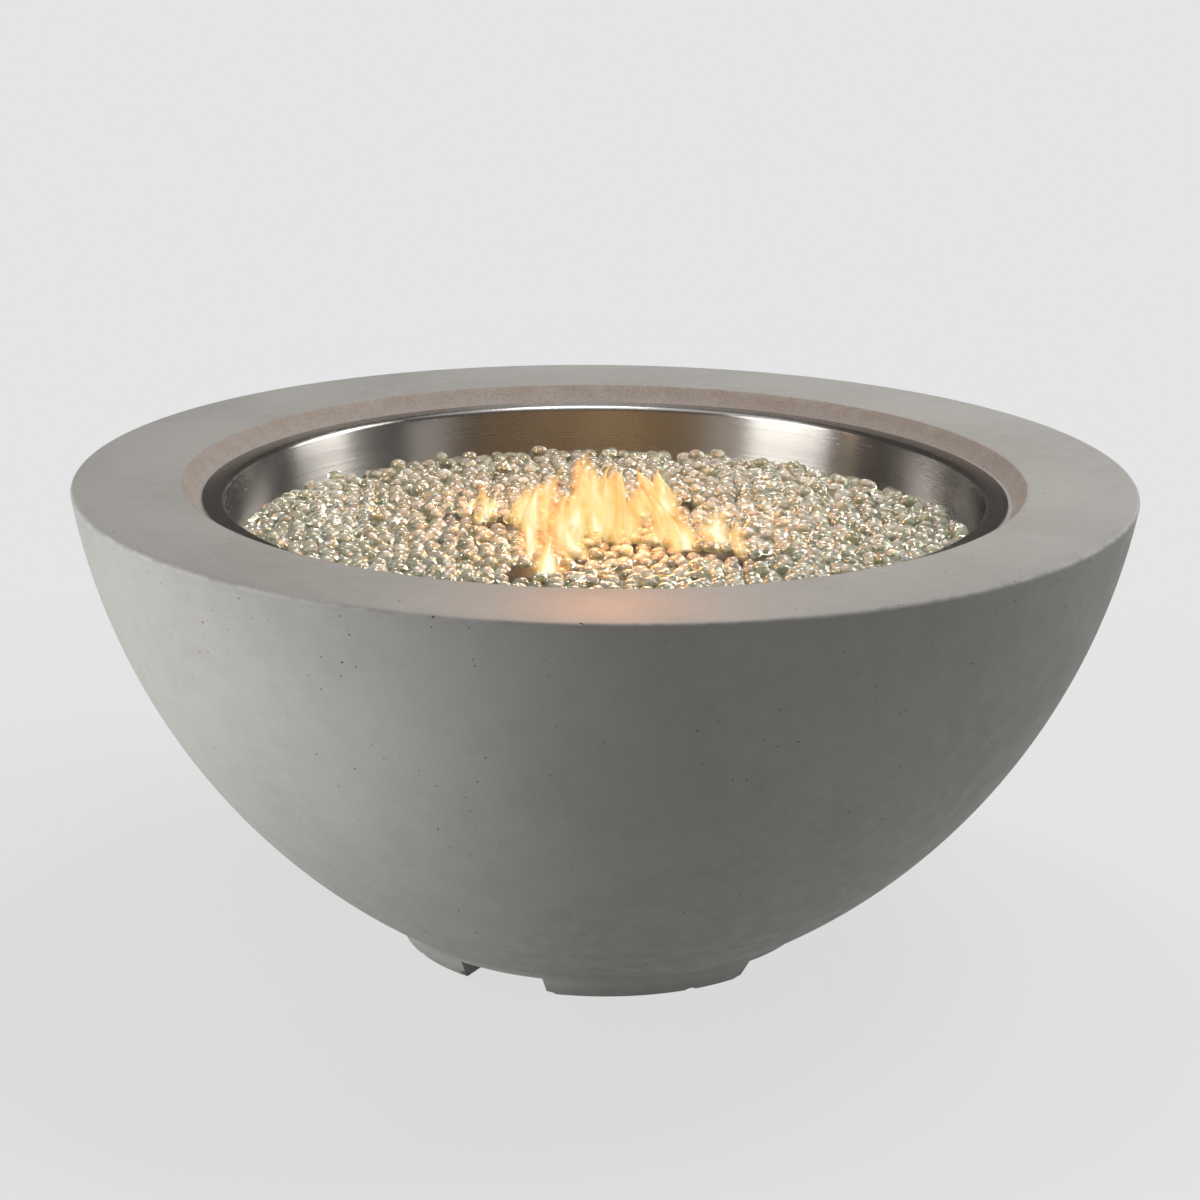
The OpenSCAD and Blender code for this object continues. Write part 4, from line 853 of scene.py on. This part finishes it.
# A layer of gems below, begun as a spiral
low_gems = []
spiral = []
for k in range(LOW_GEM_N):
    out, turn = GEM_REACH * math.sqrt((k + 0.5) / LOW_GEM_N), GOLDEN_TURN * k
    spiral.append(shaken(Vector((out * math.cos(turn), out * math.sin(turn), 0)), 0.0096))
for p in spread(spiral, GEM_REACH, LOW_APART, 10):
    top = GEM_FOOT_Z + 0.0025 + dice.uniform(-0.002, 0.002)
    placed = gem(p.x, p.y, top, GEM_SIZE, GEM_LEAN)
    if not on_burner(p.x, p.y, 0.0045):
        low_gems.append(placed)
# Loose gems in hollows of the top layer
loose_gems = []
loose_spots = []
while len(loose_spots) < LOOSE_GEM_N:
    out, turn = GEM_REACH * math.sqrt(dice.random()), dice.uniform(0, 2 * math.pi)
    x, y = out * math.cos(turn), out * math.sin(turn)
    hollow = nearest(x, y, spots) > LOOSE_ROOM
    apart = all(math.hypot(x - other[0], y - other[1]) > LOOSE_APART for other in loose_spots)
    if hollow and apart and not on_burner(x, y, 0.004):
        loose_spots.append((x, y))
        loose_gems.append(gem(x, y, GEM_TIP_Z + dice.uniform(0.003, 0.006), LOOSE_GEM_SIZE, 0.9))
# Lamps for highlights light the gems of this collection alone
gem_light = bpy.data.collections.new("gem_light")
for name, placed, rings, segments in (
    ("glass_gems_loose", loose_gems, 10, 16),
    ("glass_gems_near", [g for g in top_gems if g[0].dot(TOWARDS) > 0], 10, 16),
    ("glass_gems_far", [g for g in top_gems if g[0].dot(TOWARDS) <= 0], 10, 16),
    ("glass_gems_burner", arm_gems, 10, 16),
    ("glass_gems_under", low_gems, 7, 11),
):
    gems = add_object(name, gem_mesh(name, placed, rings, segments), finishes["clear_glass"])
    gems.data.shade_smooth()
    gems.visible_glossy = False
    if placed is not low_gems:
        gem_light.objects.link(gems)
    dress(gems, "bowl", "clear_glass", "fire_glass")


# Bed of glass that fills the pan below the gems
BED_Z = 0.3935
BED_UNDER_Z = PAN_FLOOR_Z + 0.0006
BED_INNER_R = 0.024


def bed_mesh():
    """A lumpy ring, open round the nipple in the middle."""
    rings, segments = 70, 200
    reach = pan_wall_r(BED_UNDER_Z + PAN_CORNER_R) - 0.004
    points = []
    for i in range(rings + 1):
        r = BED_INNER_R + (reach - BED_INNER_R) * i / rings
        for k in range(segments):
            a = 2 * math.pi * k / segments
            x, y = r * math.cos(a), r * math.sin(a)
            lump = 0.0016 * noise.noise(Vector((x * 110, y * 110, 1.0)))
            wave = 0.0045 * noise.noise(Vector((x * 9, y * 9, 3.0)))
            wave += 0.002 * noise.noise(Vector((x * 26, y * 26, 7.0)))
            points.append((x, y, BED_Z + lump + 0.6 * wave))
    n = len(points)
    for x, y, _ in points[:n]:
        # The underside rises over the pan's rounded corner
        in_corner = math.hypot(x, y) > reach - 0.009
        points.append((x, y, BED_UNDER_Z + (0.006 if in_corner else 0)))
    faces = []
    for i in range(rings):
        for k in range(segments):
            j = (k + 1) % segments
            a, b = i * segments + k, i * segments + j
            c, d = b + segments, a + segments
            faces += [(a, d, c, b), (n + a, n + b, n + c, n + d)]
    for k in range(segments):
        j = (k + 1) % segments
        last = rings * segments
        faces += [(k, j, n + j, n + k), (last + k, n + last + k, n + last + j, last + j)]
    return raw_mesh("glass_bed", points, faces)


bed = add_object("glass_bed", bed_mesh(), glass_bed())
bed.data.shade_smooth()
bed.visible_glossy = False
dress(bed, "bowl", "clear_glass", "fire_glass")
bevelled(nodes["cross_burner"], 0.0012)


# Low flame
FLAME_FOOT_Z = 0.4130


def flame_sheet(points, faces, uvs, base, height, half, lean, turn, sway):
    """One curved sheet of a tongue: wide at its foot, drawn to a point, and twisted as it rises."""
    rows, columns = 26, 10
    start = len(points)
    twist = 0.8 * math.sin(sway * 3.0)
    for i in range(rows + 1):
        t = i / rows
        width = half * (1 - t) ** 1.35 * (0.75 + 2.2 * t)
        width *= 1 + 0.14 * math.sin(6 * t + sway)
        facing = turn + twist * t
        across = Vector((math.cos(facing), math.sin(facing), 0))
        outward = Vector((-across.y, across.x, 0))
        wave = math.sin(4.2 * t + sway) - math.sin(sway)
        centre = base + lean * t**1.3 + across * (0.20 * height * wave * t)
        centre += Vector((0, 0, height * t))
        for k in range(columns + 1):
            u = k / columns
            bow = (2 * u - 1) ** 2 * 0.5 * width
            points.append(centre + across * width * (2 * u - 1) + outward * bow)
            uvs.append((u, t))
    for i in range(rows):
        for k in range(columns):
            a = start + i * (columns + 1) + k
            faces.append((a, a + 1, a + columns + 2, a + columns + 1))


def tongues():
    """The tongues as (x, y, height): the tallest in the middle, lower ones along the arms."""
    found = []
    for k in range(8):
        turn, out = 2.4 * k, 0.006 + 0.006 * k
        found.append((out * math.cos(turn), out * math.sin(turn), dice.uniform(0.074, 0.089)))
    for arm in range(4):
        turned = Matrix.Rotation(arm * math.pi / 2, 3, "Z")
        for k in range(4):
            along = 0.066 + 0.032 * k + dice.uniform(-0.008, 0.008)
            spot = turned @ Vector((along, (-1) ** (k + arm) * dice.uniform(0.004, 0.020), 0))
            lower = 1.10 - 2.0 * abs(along - 0.06)
            found.append((spot.x, spot.y, dice.uniform(0.034, 0.078) * lower))
    return found


def flames():
    points, faces, uvs = [], [], []
    for x, y, tall in tongues():
        base = Vector((x, y, FLAME_FOOT_Z))
        # Each tongue leans a little at random, and inwards
        lean_x = dice.uniform(-0.014, 0.014) - 0.22 * x
        lean_y = dice.uniform(-0.014, 0.014) - 0.22 * y
        lean = Vector((lean_x, lean_y, 0))
        half = tall * dice.uniform(0.30, 0.42)
        first = dice.uniform(0, math.pi)
        for k in range(2):
            turn = first + k * math.pi / 2
            sway = dice.uniform(0, 6)
            flame_sheet(points, faces, uvs, base, tall * (1 - 0.15 * k), half, lean, turn, sway)
    mesh = raw_mesh("low_flame", points, faces)
    layer = mesh.uv_layers.new(name="sheet")
    for loop in mesh.loops:
        layer.data[loop.index].uv = uvs[loop.vertex_index]
    mesh.shade_smooth()
    return mesh


flame = add_object("low_flame", flames(), fire())
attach(flame, "bowl")


# Controls on the back
def on_panel(mesh, x):
    """Turns a mesh made about +Z to face +Y on the panel."""
    facing = Matrix.Rotation(-math.pi / 2, 4, "X")
    mesh.transform(Matrix.Translation((x, PANEL_Y, PANEL_Z)) @ facing)
    return mesh


def bar(name, low, high, half, steps, levels):
    """A bar along Y with round ends about low and high, in levels of (height, share of its width)."""
    outline = arc((0, high), half, 0, math.pi, steps)
    outline += arc((0, low), half, math.pi, 2 * math.pi, steps)
    n = len(outline)
    points = []
    for z, share in levels:
        inset = half * (1 - share)
        points += [(x * share, y - math.copysign(inset, y), z) for x, y in outline]
    last = n * (len(levels) - 1)
    faces = [tuple(range(n))[::-1], tuple(range(last, last + n))]
    for start in range(0, last, n):
        for k in range(n):
            a, b = start + k, start + (k + 1) % n
            faces.append((a, b, b + n, a + n))
    return mesh_of(name, points, faces)


def knob_grip(r, z, turn):
    """Flutes round the knob's side."""
    if r < 0.0205 or z > 0.0225:
        return r
    flute = max(0.0, math.cos(18 * turn)) ** 2
    return r - 0.0011 * flute


# Sections through the controls are (radius, height over the panel)
knob_path = [(0, 0.013), (0.0147, 0.013), (0.0147, 0.005), (0.0207, 0.005), (0.0219, 0.0056)]
knob_path += [(0.0219, 0.0075), (0.0216, 0.0085), (0.0216, 0.0205), (0.0212, 0.0222), (0.0202, 0.0229)]
knob_path += [(0.0150, 0.0230), (0.0143, 0.0224), (0.0138, 0.0222), (0, 0.0222)]
knob_body = lathe("knob", knob_path, 180, knob_grip)
bar_levels = ((0.0216, 1.0), (0.0252, 1.0), (0.0257, 0.94), (0.0260, 0.82))
knob_bar = bar("bar", -0.0174, 0.0174, 0.0034, 8, bar_levels)
knob_mesh = on_panel(joined("gas_knob", [knob_body, knob_bar]), KNOB_X)
knob = add_object("gas_knob", knob_mesh, finishes["knob_black"], 30)
dress(knob, "knob", "knob_black", "control_knob")


def strip(length, width, low, high):
    """A small raised mark with round ends, lying along +Y from the origin."""
    half = width / 2
    return bar("strip", half, length - half, half, 6, ((low, 1.0), (high, 1.0)))


# The mark points up at rest, which is -Y before the panel's turn
pointer = strip(0.0085, 0.0017, 0.0258, 0.02625)
pointer.transform(Matrix.Rotation(math.pi, 4, "Z") @ Matrix.Translation((0, 0.0105, 0)))
pointer = add_object("knob_pointer", on_panel(pointer, KNOB_X), mark_paint, 30)
dress(pointer, "knob", "knob_black")

# Marks over the knob's half turn, longer at its ends and in its middle
marks = []
for k in range(13):
    length, width = (0.0052, 0.0011) if k % 6 == 0 else (0.0032, 0.0007)
    tick = strip(length, width, 0.0006, 0.00095)
    turned = Matrix.Rotation(math.pi - math.pi * k / 12, 4, "Z")
    tick.transform(turned @ Matrix.Translation((0, 0.0237, 0)))
    marks.append(tick)
dial_marks = add_object("dial_marks", on_panel(joined("dial_marks", marks), KNOB_X), mark_paint, 30)
dress(dial_marks, "bowl", "dial_black")


def knurl(r, z, turn):
    """Fine grooves round the ring's side."""
    if r < 0.0150 or not 0.0006 < z < 0.0034:
        return r
    return r - 0.00045 * (0.5 + 0.5 * math.cos(44 * turn))


nut_path = [(0.01115, 0.0), (0.0150, 0.0), (0.0155, 0.0005), (0.0155, 0.0010), (0.0155, 0.0030)]
nut_path += [(0.0155, 0.0034), (0.0150, 0.0040), (0.0118, 0.0040), (0.01115, 0.0034)]
nut_mesh = on_panel(lathe("igniter_ring", nut_path, 264, knurl), BUTTON_X)
nut = add_object("igniter_ring", nut_mesh, finishes["knob_black"], 30)
dress(nut, "bowl", "knob_black", "igniter_nut")

button_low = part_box("igniter_button")[0].y - PANEL_Y
step = button_low + 0.003
button_path = [(0, button_low), (0.0094, button_low), (0.0094, step), (0.0080, step), (0.0080, 0.0105)]
button_path += [(0.0078, 0.0112), (0.0072, 0.0116), (0.0060, 0.0118), (0.0035, 0.0115), (0, 0.0113)]
button_mesh = on_panel(lathe("igniter_cap", button_path, 96), BUTTON_X)
button = add_object("igniter_cap", button_mesh, finishes["button_red"], 30)
dress(button, "button", "button_red", "igniter_button")


def coil(name, node, wire, turns):
    """A spring of round wire, in place of a CAD one."""
    low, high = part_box(node)
    middle = (low + high) / 2
    r = (high.x - low.x) / 2 - wire / 2
    steps, sides = 40 * turns, 12
    points, faces = [], []
    for k in range(steps + 1):
        a = 2 * math.pi * turns * k / steps
        rise = max(0.0, min(1.0, (turns * k / steps - 0.6) / (turns - 1.2)))
        out = Vector((math.cos(a), 0, math.sin(a)))
        y = low.y + wire / 2 + rise * (high.y - low.y - wire)
        centre = Vector((middle.x, y, middle.z)) + out * r
        for i in range(sides):
            b = 2 * math.pi * i / sides
            points.append(centre + (out * math.cos(b) + Vector((0, math.sin(b), 0))) * (wire / 2))
    for k in range(steps):
        for i in range(sides):
            j = (i + 1) % sides
            faces.append((k * sides + i, k * sides + j, (k + 1) * sides + j, (k + 1) * sides + i))
    faces += [tuple(range(sides))[::-1], tuple(range(steps * sides, (steps + 1) * sides))]
    spring = add_object(name, mesh_of(name, points, faces), finishes["plain_steel"], 40)
    dress(spring, "bowl", "plain_steel", node)
    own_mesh(spring)


coil("valve_coil", "valve_spring", 0.0010, 4)
coil("button_coil", "button_spring", 0.0011, 4)
for name, width in (("control_panel", 0.0004), ("panel_screws", 0.0003), ("inlet_bracket", 0.0004)):
    bevelled(nodes[name], width)


# Camera at the photograph's angle
camera_data = bpy.data.cameras.new("camera")
camera_data.lens = LENS
camera_data.sensor_width = 36
camera_data.clip_end = 100
camera = add_object("camera", camera_data)
camera.location = TOWARDS * CAMERA_OUT - RIGHT * CAMERA_LEFT + Vector((0, 0, CAMERA_Z))
looking = -TOWARDS * math.cos(PITCH) - Vector((0, 0, math.sin(PITCH)))
camera.rotation_mode = "QUATERNION"
camera.rotation_quaternion = looking.to_track_quat("-Z", "Y") @ Quaternion((0, 0, 1), ROLL)
scene.camera = camera


# Light
LAMP_AIM = Vector((0, 0, 0.35))
CARD_AIM = Vector((0, 0, 0.44))
FIRE = (1.0, 0.38, 0.11)
BACKDROP = 0.783
SKY_LIGHT = 0.22
FLOOR_LIGHT = 0.20
FLOOR_HALF = 30


def way(angle, height):
    """A direction from the bowl, in degrees to the camera's right and above the horizon."""
    a, h = math.radians(angle), math.radians(height)
    return (TOWARDS * math.cos(a) + RIGHT * math.sin(a)) * math.cos(h) + Vector((0, 0, math.sin(h)))


def softbox(name, angle, height, distance, size, power, shows=False, only=None, through=False):
    """A lamp that faces the bowl. shows: it is reflected. only: it lights one collection."""
    data = bpy.data.lights.new(name, "AREA")
    data.shape = "RECTANGLE"
    data.size, data.size_y = size
    data.energy = power
    lamp = add_object(name, data)
    lamp.location = LAMP_AIM + way(angle, height) * distance
    lamp.rotation_mode = "QUATERNION"
    lamp.rotation_quaternion = (-way(angle, height)).to_track_quat("-Z", "Y")
    lamp.visible_camera = False
    lamp.visible_glossy = shows
    if only:
        # For highlights alone, or for light through the gems
        lamp.visible_diffuse = False
        lamp.visible_transmission = through
        lamp.light_linking.receiver_collection = only
    return lamp


off_floor = [
    softbox("key", -76, -3, 1.9, (0.4, 0.5), 15),
    softbox("key_near", -46, -5.7, 1.0, (0.4, 0.5), 1.9),
    softbox("back", 165, -2.5, 3.0, (1.6, 0.4), 26),
]
softbox("right", 98, 58, 2.4, (0.9, 1.2), 27)
softbox("low", 72, -3.5, 3.0, (2.0, 0.3), 11)
softbox("left", -95, 62, 2.4, (0.8, 0.8), 6)
softbox("gems_left", -61, 38, 2.6, (0.8, 0.8), 50, True, gem_light)
softbox("gems_right", 100, 42, 2.6, (0.7, 0.7), 34, True, gem_light)
softbox("gems_back", 178, 38, 2.6, (0.7, 0.7), 22, True, gem_light)
softbox("gems_through", 150, 72, 2.4, (1.8, 1.8), 24, False, gem_light, True)
softbox("top", 170, 74, 2.4, (0.45, 0.45), 15, shows=True)
# Lamps for the fire's own light: (x, y, z, power, whether it is for the gems alone)
front = TOWARDS * 0.475
fires = [(0, 0, 0.58, 1.0, False), (front.x, front.y, 0.56, 0.30, False), (0, 0, 0.56, 1.9, True)]
for x, y in ((0.0, 0.0), (0.08, -0.05), (-0.08, 0.03), (0.02, -0.08)):
    fires.append((x, y, 0.475, 0.27, True))
for k, (x, y, z, power, on_gems) in enumerate(fires):
    data = bpy.data.lights.new(f"fire_{k}", "POINT")
    data.energy = power
    data.color = FIRE
    data.shadow_soft_size = 0.03
    lamp = add_object(f"fire_{k}", data)
    lamp.location = (x, y, z)
    lamp.visible_camera = False
    lamp.visible_glossy = on_gems
    if on_gems:
        lamp.light_linking.receiver_collection = gem_light


def seen(s):
    """1 for rays from the camera, off metal or through glass, and 0 for light that falls on things."""
    rays = s.node("LightPath").outputs
    direct = s.math("MAXIMUM", rays["Is Camera Ray"], rays["Is Glossy Ray"])
    return s.math("MAXIMUM", direct, rays["Is Transmission Ray"])


sky = Surface("studio", "World")
strength = sky.plus(sky.times(seen(sky), BACKDROP - SKY_LIGHT), SKY_LIGHT)
scene.world = sky.finish(sky.node("Background", Color=(1, 1, 1, 1), Strength=strength))

# The floor glows like the backdrop, and takes a soft shadow near the bowl
ground = Surface("floor")
away = ground.radius(ground.split(ground.place()))
lit = ground.fit(away, 0.55, 1.5, 0.14, 0.0)
shown = ground.times(ground.math("SUBTRACT", 1.0, lit), BACKDROP)
strength = ground.times(ground.math("SUBTRACT", shown, FLOOR_LIGHT), seen(ground))
strength = ground.plus(strength, FLOOR_LIGHT)
glow = ground.node("Emission", Color=(1, 1, 1, 1), Strength=strength)
matt = ground.node("BsdfDiffuse", Color=ground.mix(lit, (0, 0, 0), (0.9, 0.9, 0.9)))
both = ground.node("AddShader")
ground.put(both.inputs[0], glow.outputs[0])
ground.put(both.inputs[1], matt.outputs[0])
corners = [(x * FLOOR_HALF, y * FLOOR_HALF, 0) for x, y in ((-1, -1), (1, -1), (1, 1), (-1, 1))]
floor = add_object("floor", raw_mesh("floor", corners, [(0, 1, 2, 3)]), ground.finish(both))
ground.material.cycles.emission_sampling = "NONE"
# Low lamps light the bowl, and leave no bright patch on the floor beside them
floor_left_out = bpy.data.collections.new("floor_left_out")
floor_left_out.objects.link(floor)
floor_left_out.collection_objects[0].light_linking.link_state = "EXCLUDE"
for lamp in off_floor:
    lamp.light_linking.receiver_collection = floor_left_out


# Cards and a dark surround that only metal and gloss reflect
def card(name, angle, wide, low, high, distance, colour):
    """A curved panel round the bowl. Its middle, width, foot and top are angles in degrees."""
    points = []
    steps = max(2, round(wide / 6))
    for k in range(steps + 1):
        a = angle + wide * (k / steps - 0.5)
        for h in (low, high):
            points.append(CARD_AIM + way(a, h) * distance)
    faces = [(2 * k, 2 * k + 1, 2 * k + 3, 2 * k + 2) for k in range(steps)]
    s = Surface(name)
    shine = s.finish(s.node("Emission", Color=(*colour, 1), Strength=1.0))
    panel = add_object(name, raw_mesh(name, points, faces), shine)
    s.material.cycles.emission_sampling = "NONE"
    for rays in ("camera", "diffuse", "transmission", "volume_scatter", "shadow"):
        setattr(panel, "visible_" + rays, False)


card("surround_dark", 0, 360, -2, 60, 4.0, (0.095, 0.087, 0.08))
card("surround_front", 0, 90, -2, 60, 3.9, (0.11, 0.075, 0.055))
card("card_key", -64, 29, -2, 46, 3.5, (5.2, 5.1, 4.9))
card("card_right", 106, 24, -2, 50, 3.5, (6.0, 5.9, 5.6))
card("card_strip", -88, 1.6, -2, 46, 3.5, (4.0, 3.0, 2.0))
